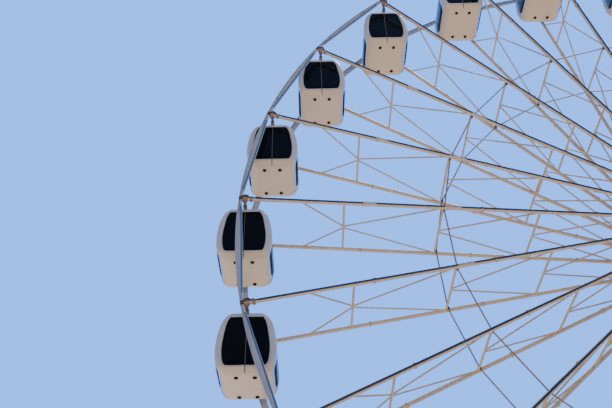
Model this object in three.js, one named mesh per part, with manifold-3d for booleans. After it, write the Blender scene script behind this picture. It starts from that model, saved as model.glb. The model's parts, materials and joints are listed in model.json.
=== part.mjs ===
// A free-standing observation wheel with twenty-four enclosed cabins, about 37 m high.
//
// Two rims, a hub and twenty-four spokes turn on a fixed axle. Each spoke is a flat truss: a front
// chord and a rear chord, held apart by cross-members. The cabins hang between the rims, each on its
// own pair of stub shafts. Four raking legs carry the axle from a steel base frame, and a loading
// platform with two flights of steps stands in front of the lowest cabin.
//
// Millimetres, +Z up, the axle along Y, the front towards -Y, the ground at Z = 0.

import * as THREE from "three";
import { mergeVertices } from "three/addons/utils/BufferGeometryUtils.js";
import Module from "manifold-3d";

const wasm = await Module();
wasm.setup();

// Driving dimensions of the wheel.
const SPOKES = 24;
const SPOKE_STEP = (2 * Math.PI) / SPOKES;
const FIRST_SPOKE = THREE.MathUtils.degToRad(-40.33); // from straight up, towards the left
const HUB_HEIGHT = 20270;
const NODE_RADIUS = 17000; // where the chords of a spoke meet the rim
const TRACK_RADIUS = 17114; // the rim's curved outer edge
const RIM_WIDTH = 120;
const RIM_OFFSET = 1385; // from the wheel's mid plane to the middle of either rim, chord and flange
const PIVOT_RADIUS = 16900; // the circle on which the cabins hang
const SEAT_GAP = 0.3; // between two pieces that are bolted face to face

// Driving dimensions of a spoke.
const CHORD_WIDTH = 140;
const CROSS_RADII = [2975, 6377, 9792, 13311];
const CROSS_BAR_RADIUS = 38;
const CHORD_FACE = RIM_OFFSET - CHORD_WIDTH / 2; // a chord's inner face, from the mid plane
// A chord's head meets the rim's straight inner edge with its two outer corners.
const HEAD_RADIUS = NODE_RADIUS - (CHORD_WIDTH / 2) * Math.tan(SPOKE_STEP / 2) - SEAT_GAP;
const BEARING = { hole: 47, depth: 80, sides: 6 };

// Driving dimensions of the hub and the axle.
const FLANGE_RADIUS = 1150; // to the flats that the spokes stand on
const FLANGE_THICKNESS = 150;
const DRUM_RADIUS = 520;
const BORE_RADIUS = 262;
const AXLE_RADIUS = 250;
const ROUND_SIDES = 16;
const COLLAR = { radius: 330, thickness: 70 };
const AXLE_HEAD = { width: 1400, height: 800, drop: 450, inner: 1750, outer: 2350 };

// Driving dimensions of a cabin, measured from its pivot.
const CABIN_WALL = 50;
const CABIN_FLOOR = -2302;
const CABIN_CEILING = -125;
const SHAFT_RADIUS = 38;
const HANGER = { halfWidth: 60, top: 80, bottom: -200, inner: 1150, outer: 1180 };
const ROOF_BEAM = { halfWidth: 70, top: -50, bottom: -190 };

// Driving dimensions of the base and the platform.
const BASE_HEIGHT = 450;
const FOOT = { x: 8000, y: 3700, plate: 900, thickness: 40 };
const SILL = { width: 600, length: 10000 };
const LEG = { topRadius: 230, footRadius: 300, topX: 320, topY: 2050, sides: 12 };
const DECK = { halfLength: 6000, near: -1150, far: -4900, top: 1000, thickness: 150 };
const STAIR = { near: -1250, far: -2950, tread: 280, steps: 4, nosing: 60 };
const RAIL = { height: 1100, depth: 60, post: 60, inset: 60, spacing: 2600 };

const PAINT = {
  wheelSteel: { color: 0xb9b4ad, roughness: 0.45, metalness: 0.2 },
  rimSteel: { color: 0xa3a7ad, roughness: 0.42, metalness: 0.2 },
  cabinShell: { color: 0xd2cbc2, roughness: 0.32, metalness: 0.0 },
  baseSteel: { color: 0xd9d9d6, roughness: 0.5, metalness: 0.2 },
  deck: { color: 0x8b8d8f, roughness: 0.7, metalness: 0.3 },
};

// Turns a closed three.js geometry into a solid that can be joined and cut.
function solid(geometry) {
  const bare = geometry.clone();
  bare.deleteAttribute("normal");
  bare.deleteAttribute("uv");
  const merged = mergeVertices(bare, 1e-3);
  return new wasm.Manifold(
    new wasm.Mesh({
      numProp: 3,
      vertProperties: new Float32Array(merged.attributes.position.array),
      triVerts: new Uint32Array(merged.index.array),
    }),
  );
}

// Turns a solid back into a three.js geometry.
function geometryOf(body) {
  const mesh = body.getMesh();
  const geometry = new THREE.BufferGeometry();
  geometry.setAttribute("position", new THREE.BufferAttribute(new Float32Array(mesh.vertProperties), 3));
  geometry.setIndex(new THREE.BufferAttribute(new Uint32Array(mesh.triVerts), 1));
  return geometry;
}

function join(bodies) {
  return bodies.reduce((whole, body) => whole.add(body));
}

// A box between two corners.
function box(low, high) {
  const size = high.map((value, i) => value - low[i]);
  const middle = high.map((value, i) => (value + low[i]) / 2);
  return solid(new THREE.BoxGeometry(...size).translate(...middle));
}

// Turns a geometry that runs along Z from the origin so that it runs from one point towards another.
function aim(geometry, from, towards) {
  const along = towards.clone().sub(from).normalize();
  geometry.applyQuaternion(new THREE.Quaternion().setFromUnitVectors(new THREE.Vector3(0, 0, 1), along));
  return geometry.translate(from.x, from.y, from.z);
}

// A regular outline, with a flat or a corner on its own upward axis.
function regular(radius, sides, turn = 0) {
  const corners = [];
  for (let i = 0; i < sides; i++) {
    const angle = turn + (2 * Math.PI * i) / sides;
    corners.push([radius * Math.cos(angle), radius * Math.sin(angle)]);
  }
  return corners;
}

// A straight prism between two points.
function bar(from, to, radius, sides) {
  const start = new THREE.Vector3(...from);
  const end = new THREE.Vector3(...to);
  const shape = new THREE.Shape(anticlockwise(regular(radius, sides)));
  const geometry = new THREE.ExtrudeGeometry(shape, { depth: start.distanceTo(end), bevelEnabled: false });
  return solid(aim(geometry, start, end));
}

// A straight bar that changes its radius evenly from one end to the other.
function taper(from, to, radius, endRadius, sides) {
  const start = new THREE.Vector3(...from);
  const end = new THREE.Vector3(...to);
  const length = start.distanceTo(end);
  const geometry = new THREE.CylinderGeometry(endRadius, radius, length, sides);
  return solid(aim(geometry.translate(0, length / 2, 0).rotateX(Math.PI / 2), start, end));
}

// A prism about the Y axis.
function drum(radius, fromY, toY, sides, turn = 0) {
  return alongY(regular(radius, sides, turn), toY - fromY).translate(0, (fromY + toY) / 2, 0);
}

function anticlockwise(points) {
  const corners = points.map(([x, y]) => new THREE.Vector2(x, y));
  return THREE.ShapeUtils.isClockWise(corners) ? corners.reverse() : corners;
}

// An outline in X and Z, extruded along Y and centred on the wheel's mid plane.
function alongY(points, depth, holes = []) {
  const shape = new THREE.Shape(anticlockwise(points));
  for (const hole of holes) shape.holes.push(new THREE.Path(anticlockwise(hole).reverse()));
  const geometry = new THREE.ExtrudeGeometry(shape, { depth, bevelEnabled: false });
  return solid(geometry.rotateX(Math.PI / 2).translate(0, depth / 2, 0));
}

// An outline in Y and Z, extruded along X and centred on X = 0.
function alongX(points, depth) {
  const shape = new THREE.Shape(anticlockwise(points));
  const geometry = new THREE.ExtrudeGeometry(shape, { depth, bevelEnabled: false });
  return solid(geometry.rotateX(Math.PI / 2).rotateZ(Math.PI / 2).translate(-depth / 2, 0, 0));
}

// An outline in X and Y, extruded along Z.
function alongZ(points, low, high) {
  const shape = new THREE.Shape(anticlockwise(points));
  const geometry = new THREE.ExtrudeGeometry(shape, { depth: high - low, bevelEnabled: false });
  return solid(geometry.translate(0, 0, low));
}

// Mirrors one half of an outline, given from top to bottom as [half-width, height].
function bothSides(half) {
  return [...half, ...half.map(([x, z]) => [-x, z]).reverse()];
}

function named(name, body, paint) {
  const geometry = body.isBufferGeometry ? body : geometryOf(body);
  const mesh = new THREE.Mesh(geometry, new THREE.MeshStandardMaterial(paint));
  mesh.name = name;
  return mesh;
}

function onRadius(radius, angle) {
  return [radius * Math.sin(angle), radius * Math.cos(angle)];
}

// The rim is one ring. Its inner edge is straight from spoke to spoke and its outer edge, the track
// for the drive tyres, is round, so each of its lengths is deepest in the middle.
function rim() {
  const stepsPerSpoke = 3;
  const track = [];
  for (let i = 0; i < SPOKES * stepsPerSpoke; i++) {
    track.push(onRadius(TRACK_RADIUS, (i * SPOKE_STEP) / stepsPerSpoke));
  }
  const nodes = [];
  for (let i = 0; i < SPOKES; i++) nodes.push(onRadius(NODE_RADIUS, i * SPOKE_STEP));
  return alongY(track, RIM_WIDTH, [nodes]);
}

// A spoke, standing straight up from the hub: two chords and the cross-members between them.
function spoke() {
  const pieces = [chord(-1), chord(1)];
  for (const radius of CROSS_RADII) {
    pieces.push(bar([0, -RIM_OFFSET, radius], [0, RIM_OFFSET, radius], CROSS_BAR_RADIUS, 4));
  }
  return join(pieces);
}

// One chord: a square tube, its ends flat on the hub and on the rim. A blind hole near its head holds
// one of a cabin's two shafts.
function chord(side) {
  const half = CHORD_WIDTH / 2;
  const low = side * RIM_OFFSET - half;
  const high = side * RIM_OFFSET + half;
  const tube = box([-half, low, FLANGE_RADIUS + SEAT_GAP], [half, high, HEAD_RADIUS]);
  const mouth = [0, side * (CHORD_FACE - half), PIVOT_RADIUS];
  const bottom = [0, side * (CHORD_FACE + BEARING.depth), PIVOT_RADIUS];
  return tube.subtract(bar(mouth, bottom, BEARING.hole, BEARING.sides));
}

// The hub: a drum with a flange at each end. Each flange has one flat for each spoke.
function hub() {
  const corner = FLANGE_RADIUS / Math.cos(SPOKE_STEP / 2);
  const end = RIM_OFFSET + FLANGE_THICKNESS / 2;
  const flange = (side) => {
    const middle = side * RIM_OFFSET;
    const half = FLANGE_THICKNESS / 2;
    return drum(corner, middle - half, middle + half, SPOKES, SPOKE_STEP / 2);
  };
  const bore = drum(BORE_RADIUS, -end - 10, end + 10, ROUND_SIDES);
  return join([drum(DRUM_RADIUS, -end, end, ROUND_SIDES), flange(-1), flange(1)]).subtract(bore);
}

// The fixed axle, with a thrust collar outside each flange and a head block on each end.
function axle() {
  const collarFrom = RIM_OFFSET + FLANGE_THICKNESS / 2 + SEAT_GAP;
  const collarTo = collarFrom + COLLAR.thickness;
  const low = -AXLE_HEAD.drop;
  const high = AXLE_HEAD.height - AXLE_HEAD.drop;
  const halfWidth = AXLE_HEAD.width / 2;
  return join([
    drum(AXLE_RADIUS, -AXLE_HEAD.outer + 20, AXLE_HEAD.outer - 20, ROUND_SIDES),
    drum(COLLAR.radius, -collarTo, -collarFrom, ROUND_SIDES),
    drum(COLLAR.radius, collarFrom, collarTo, ROUND_SIDES),
    box([-halfWidth, -AXLE_HEAD.outer, low], [halfWidth, -AXLE_HEAD.inner, high]),
    box([-halfWidth, AXLE_HEAD.inner, low], [halfWidth, AXLE_HEAD.outer, high]),
  ]);
}

// The cabin's outline is the overlap of its front, side and plan outlines. The same three, a wall's
// thickness smaller, hollow it out.
const FRONT_OUTLINE = [
  [450, CABIN_CEILING],
  [645, -250],
  [850, -680],
  [992, -1380],
  [965, -1820],
  [870, -2130],
  [640, CABIN_FLOOR],
];
const SIDE_OUTLINE = [
  [900, CABIN_CEILING],
  [1015, -240],
  [1062, -2060],
  [985, -2220],
  [780, CABIN_FLOOR],
];
const PLAN_OUTLINE = [
  [992, 950],
  [880, 1062],
  [-880, 1062],
  [-992, 950],
  [-992, -950],
  [-880, -1062],
  [880, -1062],
  [992, -950],
];
const DOOR_WINDOW = [
  [530, -320],
  [700, -930],
  [757, -1450],
  [720, -1900],
  [600, -2055],
];
const SIDE_WINDOW = [
  [520, -600],
  [670, -760],
  [670, -1760],
  [520, -1930],
];

// Brings a half outline in by the wall's thickness, from the floor and the ceiling too.
function inside(half) {
  const low = CABIN_FLOOR + CABIN_WALL;
  const high = CABIN_CEILING - CABIN_WALL;
  return half.map(([x, z]) => [x - CABIN_WALL, THREE.MathUtils.clamp(z, low, high)]);
}

function cabinShell() {
  const far = 2400;
  const outer = alongY(bothSides(FRONT_OUTLINE), far)
    .intersect(alongX(bothSides(SIDE_OUTLINE), far))
    .intersect(alongZ(PLAN_OUTLINE, CABIN_FLOOR, CABIN_CEILING));
  const plan = PLAN_OUTLINE.map(([x, y]) => [x - Math.sign(x) * CABIN_WALL, y - Math.sign(y) * CABIN_WALL]);
  const inner = alongY(bothSides(inside(FRONT_OUTLINE)), far)
    .intersect(alongX(bothSides(inside(SIDE_OUTLINE)), far))
    .intersect(alongZ(plan, CABIN_FLOOR + CABIN_WALL, CABIN_CEILING - CABIN_WALL));
  return outer
    .subtract(inner)
    .subtract(alongY(bothSides(DOOR_WINDOW), far))
    .subtract(alongX(bothSides(SIDE_WINDOW), far));
}

// A beam over the roof, an upright plate at each end, and the two stub shafts that turn in the rims'
// bearing housings.
function hanger() {
  const reach = CHORD_FACE + BEARING.depth - SEAT_GAP;
  const pieces = [
    box(
      [-ROOF_BEAM.halfWidth, -HANGER.inner, ROOF_BEAM.bottom],
      [ROOF_BEAM.halfWidth, HANGER.inner, ROOF_BEAM.top],
    ),
  ];
  for (const side of [-1, 1]) {
    const low = Math.min(side * HANGER.inner, side * HANGER.outer);
    const high = Math.max(side * HANGER.inner, side * HANGER.outer);
    pieces.push(box([-HANGER.halfWidth, low, HANGER.bottom], [HANGER.halfWidth, high, HANGER.top]));
    pieces.push(bar([0, side * HANGER.inner, 0], [0, side * reach, 0], SHAFT_RADIUS, BEARING.sides));
  }
  return join(pieces);
}

function cabin() {
  return cabinShell().add(hanger());
}

// A raking leg, from its foot plate on the base frame to the underside of an axle head.
function leg(sideX, sideY) {
  const headUnderside = HUB_HEIGHT - AXLE_HEAD.drop - SEAT_GAP;
  const footing = BASE_HEIGHT + SEAT_GAP;
  const foot = [sideX * FOOT.x, sideY * FOOT.y, BASE_HEIGHT - 100];
  const top = [sideX * LEG.topX, sideY * LEG.topY, HUB_HEIGHT];
  const half = FOOT.plate / 2;
  const plate = box(
    [foot[0] - half / 1.5, foot[1] - half, footing],
    [foot[0] + half / 1.5, foot[1] + half, footing + FOOT.thickness],
  );
  const room = 12000;
  const above = box([-room, -room, headUnderside], [room, room, HUB_HEIGHT + room]);
  const below = box([-room, -room, -room], [room, room, footing]);
  return taper(foot, top, LEG.footRadius, LEG.topRadius, LEG.sides).add(plate).subtract(above).subtract(below);
}

// Two heavy sills along Y under the legs, two beams along X between them, and two cross beams.
function baseFrame() {
  const pieces = [];
  for (const side of [-1, 1]) {
    const sill = side * FOOT.x;
    const beam = side * FOOT.y;
    const cross = side * 2800;
    pieces.push(
      box([sill - SILL.width / 2, -SILL.length / 2, 0], [sill + SILL.width / 2, SILL.length / 2, BASE_HEIGHT]),
    );
    pieces.push(box([-FOOT.x, beam - 200, 0], [FOOT.x, beam + 200, BASE_HEIGHT]));
    pieces.push(box([cross - 150, -FOOT.y, 0], [cross + 150, FOOT.y, BASE_HEIGHT]));
  }
  return join(pieces);
}

// Posts and a top rail along a line of points on the deck.
function railing(points) {
  const half = RAIL.post / 2;
  const railTop = DECK.top + RAIL.height;
  const pieces = [];
  for (let i = 0; i + 1 < points.length; i++) {
    const from = new THREE.Vector2(...points[i]);
    const to = new THREE.Vector2(...points[i + 1]);
    const bays = Math.max(1, Math.round(from.distanceTo(to) / RAIL.spacing));
    for (let n = i > 0 ? 1 : 0; n <= bays; n++) {
      const at = from.clone().lerp(to, n / bays);
      pieces.push(box([at.x - half, at.y - half, DECK.top - 20], [at.x + half, at.y + half, railTop]));
    }
    const low = from.clone().min(to).subScalar(half);
    const high = from.clone().max(to).addScalar(half);
    pieces.push(box([low.x, low.y, railTop - RAIL.depth], [high.x, high.y, railTop]));
  }
  return pieces;
}

// The loading platform in front of the lowest cabin, on posts and on the base frame's front beam.
function loadingPlatform() {
  const { halfLength, near, far, top, thickness } = DECK;
  const underside = top - thickness;
  const pieces = [box([-halfLength, far, underside], [halfLength, near, top])];
  for (const x of [-5600, -1900, 1900, 5600]) {
    pieces.push(box([x - 75, far + 150, 0], [x + 75, far + 300, underside + 20]));
    pieces.push(box([x - 75, near - 500, 0], [x + 75, near - 350, underside + 20]));
    pieces.push(box([x - 75, -FOOT.y - 100, BASE_HEIGHT + SEAT_GAP], [x + 75, -FOOT.y + 100, underside + 20]));
  }
  const edgeX = halfLength - RAIL.inset;
  const farY = far + RAIL.inset;
  const nearY = near - RAIL.inset;
  const gate = 2600;
  const stairY = STAIR.far - RAIL.inset;
  pieces.push(...railing([[-edgeX, stairY], [-edgeX, farY], [edgeX, farY], [edgeX, stairY]]));
  pieces.push(...railing([[-edgeX, nearY], [-gate, nearY]]));
  pieces.push(...railing([[gate, nearY], [edgeX, nearY]]));
  return join(pieces);
}

// A sloping handrail over one edge of a flight, on a post at the top tread and a post at the bottom one.
function handrail(side, y) {
  const half = RAIL.post / 2;
  const rise = DECK.top / (STAIR.steps + 1);
  const ends = [STAIR.steps, 1].map((step) => ({
    x: side * (DECK.halfLength + SEAT_GAP + (STAIR.steps - step + 0.5) * STAIR.tread),
    tread: step * rise,
  }));
  const pieces = ends.map(({ x, tread }) =>
    box([x - half, y - half, tread - 20], [x + half, y + half, tread + RAIL.height]),
  );
  const [head, foot] = ends.map(({ x, tread }) => [x, y, tread + RAIL.height - half]);
  pieces.push(bar(head, foot, half, 6));
  return pieces;
}

// A flight of steps against one end of the deck, with a handrail along either side.
function stairs(side) {
  const rise = DECK.top / (STAIR.steps + 1);
  const start = DECK.halfLength + SEAT_GAP;
  const outline = [[start, 0], [start, DECK.top], [start + STAIR.nosing, DECK.top]];
  for (let i = STAIR.steps; i > 0; i--) {
    const x = start + (STAIR.steps - i) * STAIR.tread;
    outline.push([Math.max(x, start + STAIR.nosing), i * rise], [x + STAIR.tread, i * rise]);
  }
  outline.push([start + STAIR.steps * STAIR.tread, 0]);
  const treads = outline.map(([x, z]) => [side * x, z]);
  const flight = alongY(treads, STAIR.near - STAIR.far).translate(0, (STAIR.near + STAIR.far) / 2, 0);
  return join([
    flight,
    ...handrail(side, STAIR.near - RAIL.inset),
    ...handrail(side, STAIR.far + RAIL.inset),
  ]);
}

const wheelHouse = new THREE.Group();

const rotor = new THREE.Group();
rotor.position.z = HUB_HEIGHT;
rotor.rotation.y = FIRST_SPOKE;
wheelHouse.add(rotor);

rotor.add(named("hub", hub(), PAINT.wheelSteel));

const rimGeometry = geometryOf(rim());
for (const [name, side] of [["rim_front", -1], ["rim_rear", 1]]) {
  const mesh = named(name, rimGeometry, PAINT.rimSteel);
  mesh.position.y = side * RIM_OFFSET;
  rotor.add(mesh);
}

const spokeGeometry = geometryOf(spoke());
const cabinGeometry = geometryOf(cabin());
for (let i = 0; i < SPOKES; i++) {
  const number = String(i + 1).padStart(2, "0");
  const turn = -i * SPOKE_STEP;
  const spokeMesh = named(`spoke_${number}`, spokeGeometry, PAINT.wheelSteel);
  spokeMesh.rotation.y = turn;
  rotor.add(spokeMesh);

  const cabinMesh = named(`cabin_${number}`, cabinGeometry, PAINT.cabinShell);
  const [x, z] = onRadius(PIVOT_RADIUS, FIRST_SPOKE + turn);
  cabinMesh.position.set(x, 0, HUB_HEIGHT + z);
  wheelHouse.add(cabinMesh);
}

const axleMesh = named("axle", axle(), PAINT.baseSteel);
axleMesh.position.z = HUB_HEIGHT;
wheelHouse.add(axleMesh);

wheelHouse.add(named("leg_front_left", leg(-1, -1), PAINT.baseSteel));
wheelHouse.add(named("leg_front_right", leg(1, -1), PAINT.baseSteel));
wheelHouse.add(named("leg_rear_left", leg(-1, 1), PAINT.baseSteel));
wheelHouse.add(named("leg_rear_right", leg(1, 1), PAINT.baseSteel));
wheelHouse.add(named("base_frame", baseFrame(), PAINT.baseSteel));
wheelHouse.add(named("loading_platform", loadingPlatform(), PAINT.deck));
wheelHouse.add(named("steps_left", stairs(-1), PAINT.deck));
wheelHouse.add(named("steps_right", stairs(1), PAINT.deck));

export default wheelHouse;
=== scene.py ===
# A free-standing observation wheel, about 37 m high, with twenty-four enclosed cabins.
# Metres, +Z up, the axle along Y and the front towards -Y. The sections follow the wheel as it is put
# together: camera and studio, spokes, rims, cabins, hub and axle, legs, base frame, platform, steps.

import json
import math

import bmesh
import bpy
import numpy as np
from mathutils import Matrix, Vector


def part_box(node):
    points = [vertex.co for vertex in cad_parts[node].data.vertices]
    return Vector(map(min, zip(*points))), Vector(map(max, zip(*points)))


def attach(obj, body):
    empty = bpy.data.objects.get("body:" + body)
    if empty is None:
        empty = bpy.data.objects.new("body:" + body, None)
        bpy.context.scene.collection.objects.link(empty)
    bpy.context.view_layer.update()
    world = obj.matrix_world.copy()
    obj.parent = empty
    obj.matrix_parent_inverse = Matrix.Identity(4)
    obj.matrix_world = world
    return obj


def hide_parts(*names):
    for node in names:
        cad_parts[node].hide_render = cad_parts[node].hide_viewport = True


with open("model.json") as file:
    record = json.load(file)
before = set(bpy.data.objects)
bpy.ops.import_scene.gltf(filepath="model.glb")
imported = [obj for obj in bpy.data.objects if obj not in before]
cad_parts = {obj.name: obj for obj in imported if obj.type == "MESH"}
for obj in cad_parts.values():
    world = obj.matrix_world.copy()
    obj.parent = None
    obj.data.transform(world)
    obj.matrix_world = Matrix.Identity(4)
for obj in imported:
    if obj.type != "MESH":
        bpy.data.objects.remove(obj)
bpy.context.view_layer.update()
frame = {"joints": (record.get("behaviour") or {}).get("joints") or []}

# Camera
# The photo was taken from the ground, ahead of the wheel and left of its axle, looking up steeply. The
# lens, the place and the angles were worked out from the wheel's own circle and the cabins' feet.

joints = {joint["name"]: joint for joint in frame["joints"]}
HUB = Vector(joints["wheel_spin"]["pos_m"])
CAMERA_FROM_HUB = Vector((-14.61, -22.79, -16.64))
CAMERA_YAW = math.radians(-0.08)
CAMERA_PITCH = math.radians(39.62)
CAMERA_ROLL = math.radians(-0.98)
LENS_MM = 45.63
FAR_CLIP = 2000.0

across = Vector((math.cos(CAMERA_YAW), -math.sin(CAMERA_YAW), 0.0))
ahead = Vector((
    math.sin(CAMERA_YAW) * math.cos(CAMERA_PITCH),
    math.cos(CAMERA_YAW) * math.cos(CAMERA_PITCH),
    math.sin(CAMERA_PITCH),
))
upward = across.cross(ahead)
camera_right = across * math.cos(CAMERA_ROLL) + upward * math.sin(CAMERA_ROLL)
camera_up = upward * math.cos(CAMERA_ROLL) - across * math.sin(CAMERA_ROLL)


def placed(name, data):
    """A new object in the scene."""
    made = bpy.data.objects.new(name, data)
    bpy.context.scene.collection.objects.link(made)
    return made


camera = placed("camera", bpy.data.cameras.new("camera"))
camera.data.lens = LENS_MM
camera.data.clip_end = FAR_CLIP
camera.matrix_world = (
    Matrix.Translation(HUB + CAMERA_FROM_HUB)
    @ Matrix((camera_right, camera_up, -ahead)).transposed().to_4x4()
)
bpy.context.scene.camera = camera

# Studio
# A plain pale floor, a pale blue surround that is brighter behind the wheel than in front of it and warm
# along the horizon, and one broad warm lamp, high and a little to the right: the fronts are in even shade.

FLOOR_SIZE = 1600.0
FLOOR_COLOUR = (0.82, 0.66, 0.48, 1.0)
SKY_BEHIND = (0.25, 0.80, 2.40, 1.0)
SKY_IN_FRONT = (0.15, 0.21, 0.36, 1.0)
SKY_TURN = (-0.9, 0.55)  # where the surround goes over from its front colour to its rear one
SKY_LEFT = 0.50  # the share of the surround's light that comes from the far left
SKY_LEFT_EDGE = (-0.95, -0.45)  # where it comes up to its full strength, from the left
HORIZON = (0.20, 0.155, 0.11, 1.0)
HORIZON_TOP = 0.24  # the sine of the angle at which the warm horizon has gone over into the sky
SUN_STRENGTH = 5.0
SUN_COLOUR = (1.0, 0.89, 0.74)
SUN_SOFTNESS = math.radians(12)
SUN_FROM = Vector((0.30, 0.05, 0.95))


class Nodes:
    """The nodes of one tree, added and linked by short calls."""

    def __init__(self, tree):
        self.nodes = tree.nodes
        self.links = tree.links

    def feed(self, value, socket):
        """Links an output to the socket, or gives the socket a plain value."""
        if isinstance(value, bpy.types.NodeSocket):
            self.links.new(value, socket)
        else:
            socket.default_value = value

    def add(self, kind, output, inputs, **settings):
        """Adds a node, sets it up, and returns one of its outputs."""
        node = self.nodes.new(kind)
        for label, value in settings.items():
            setattr(node, label, value)
        for label, value in inputs.items():
            self.feed(value, node.inputs[label])
        return node.outputs[output]

    def part(self, place, axis):
        return self.add("ShaderNodeSeparateXYZ", axis, {"Vector": place})

    def between(self, value, low, high, to_low=0.0, to_high=1.0):
        """Spreads the range from low to high over another range."""
        limits = {"From Min": low, "From Max": high, "To Min": to_low, "To Max": to_high}
        return self.add("ShaderNodeMapRange", "Result", {"Value": value, **limits})

    def combined(self, operation, first, second):
        return self.add("ShaderNodeMath", "Value", {0: first, 1: second}, operation=operation)

    def mixed(self, share, first, second):
        """Two colours mixed. Sockets 0, 6, 7 and output 2 are the ones that the node uses for colours."""
        return self.add("ShaderNodeMix", 2, {0: share, 6: first, 7: second}, data_type="RGBA")


class Finish(Nodes):
    """A procedural material, put together from a few kinds of node."""

    def __init__(self, name, attribute=None):
        self.material = bpy.data.materials.new(name)
        self.material.use_nodes = True
        super().__init__(self.material.node_tree)
        self.shader = self.nodes["Principled BSDF"]
        if attribute is None:
            self.place = self.add("ShaderNodeTexCoord", "Object", {})
        else:
            self.place = self.add("ShaderNodeAttribute", "Vector", {}, attribute_name=attribute)

    def noise(self, scale, detail=5.0, stretch=None):
        place = self.place
        if stretch is not None:
            place = self.add("ShaderNodeMapping", "Vector", {"Vector": place, "Scale": stretch})
        return self.add("ShaderNodeTexNoise", "Fac", {"Vector": place, "Scale": scale, "Detail": detail})

    def height(self):
        return self.part(self.place, "Z")

    def bump(self, height, strength, distance):
        inputs = {"Height": height, "Strength": strength, "Distance": distance}
        self.set("Normal", self.add("ShaderNodeBump", "Normal", inputs))

    def set(self, name, value):
        self.feed(value, self.shader.inputs[name])


def plain_mesh(name, points, faces, edges=()):
    mesh = bpy.data.meshes.new(name)
    mesh.from_pydata([tuple(p) for p in points], list(edges), [tuple(f) for f in faces])
    mesh.update()
    return placed(name, mesh)


floor_paint = Finish("floor_paint")
floor_paint.set("Base Color", FLOOR_COLOUR)
floor_paint.set("Roughness", 0.9)
half = FLOOR_SIZE / 2
floor_corners = [(-half, -half, 0), (half, -half, 0), (half, half, 0), (-half, half, 0)]
floor = plain_mesh("floor", floor_corners, [(0, 1, 2, 3)])
floor.data.materials.append(floor_paint.material)

surround = bpy.data.worlds.new("surround")
surround.use_nodes = True
world = Nodes(surround.node_tree)
direction = world.add("ShaderNodeTexCoord", "Generated", {})
backward = world.between(world.part(direction, "Y"), *SKY_TURN)
sky = world.mixed(backward, SKY_IN_FRONT, SKY_BEHIND)
above = world.between(world.part(direction, "Z"), 0.0, HORIZON_TOP)
rightward = world.between(world.part(direction, "X"), *SKY_LEFT_EDGE, SKY_LEFT)
background = surround.node_tree.nodes["Background"]
world.feed(world.mixed(above, HORIZON, sky), background.inputs["Color"])
world.feed(rightward, background.inputs["Strength"])
bpy.context.scene.world = surround

sun = placed("soft_lamp", bpy.data.lights.new("soft_lamp", "SUN"))
sun.data.energy = SUN_STRENGTH
sun.data.angle = SUN_SOFTNESS
sun.data.color = SUN_COLOUR
sun.rotation_euler = SUN_FROM.to_track_quat("Z", "Y").to_euler()

# Spokes
# Each spoke is a flat truss of round steel tube, welded up and painted light grey: a front and a rear
# chord, four cross-members between them, and thin diagonals. It is bolted to the hub and to both rims.

SPOKES = 24
STEP = 2 * math.pi / SPOKES
first = Vector(joints["cabin_01_swing"]["pos_m"]) - HUB
FIRST_ANGLE = math.atan2(first.x, first.z)
rim_low, rim_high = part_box("rim_rear")
RIM_OFFSET = (rim_low.y + rim_high.y) / 2  # from the wheel's mid plane to a chord or a rim
CHORD_RADIUS = 0.075
CROSS_BAR_RADIUS = 0.042
BRACE_RADIUS = 0.031
TIE_RADIUS = 0.029
FLANGE_RADIUS = 1.15
HEAD_RADIUS = 16.99
CROSS_RADII = [2.975, 6.377, 9.792, 13.311]
INNER_BRACE_RADIUS = FLANGE_RADIUS + 0.15
OUTER_BRACE_RADIUS = 14.85
BRACE_SPREAD = 0.04  # from a cross-member's middle to the foot of each diagonal
BRACE_REACH = RIM_OFFSET - 0.5 * CHORD_RADIUS
TUBE_SIDES = {"chord": 16, "cross_bar": 12, "brace": 8, "tie": 8}
RUST = (0.17, 0.07, 0.03, 1)


class Growth(Nodes):
    """A geometry node tree that repeats a shape, makes the copies real and paints them."""

    def __init__(self, name, sizes):
        self.tree = bpy.data.node_groups.new(name, "GeometryNodeTree")
        face = self.tree.interface
        for label, kind in {"Geometry": "Geometry", **sizes, "Paint": "Material"}.items():
            face.new_socket(label, in_out="INPUT", socket_type=f"NodeSocket{kind}")
        face.new_socket("Geometry", in_out="OUTPUT", socket_type="NodeSocketGeometry")
        super().__init__(self.tree)
        self.given = self.nodes.new("NodeGroupInput").outputs

    def repeat(self, shape, points, **turned):
        """The nodes that end the tree: the shape at every point."""
        places = {"Points": points, "Instance": shape, **turned}
        copies = self.add("GeometryNodeInstanceOnPoints", "Instances", places)
        real = self.add("GeometryNodeRealizeInstances", "Geometry", {"Geometry": copies})
        paint = {"Geometry": real, "Material": self.given["Paint"]}
        painted = self.add("GeometryNodeSetMaterial", "Geometry", paint)
        self.links.new(painted, self.nodes.new("NodeGroupOutput").inputs["Geometry"])

    def repeat_round_axle(self, shape):
        """A shape that stands straight up from the axle, copied to every spoke's angle."""
        given = self.given
        row = {"Count": given["Copies"], "Offset": (0, 0, 0)}
        line = self.add("GeometryNodeMeshLine", "Mesh", row, mode="OFFSET")
        place = {"Geometry": line, "Offset": given["Axle"]}
        middle = self.add("GeometryNodeSetPosition", "Geometry", place)
        index = self.add("GeometryNodeInputIndex", "Index", {})
        steps = {0: index, 1: given["Step"], 2: given["First angle"]}
        turn = self.add("ShaderNodeMath", "Value", steps, operation="MULTIPLY_ADD")
        self.repeat(shape, middle, Rotation=self.add("ShaderNodeCombineXYZ", "Vector", {"Y": turn}))


def smoothed(mesh, under):
    mesh.shade_smooth()
    mesh.set_sharp_from_angle(angle=math.radians(under))


def evaluated(made):
    """The mesh of an object as its modifiers leave it."""
    bpy.context.view_layer.update()
    return bpy.data.meshes.new_from_object(made.evaluated_get(bpy.context.evaluated_depsgraph_get()))


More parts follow.
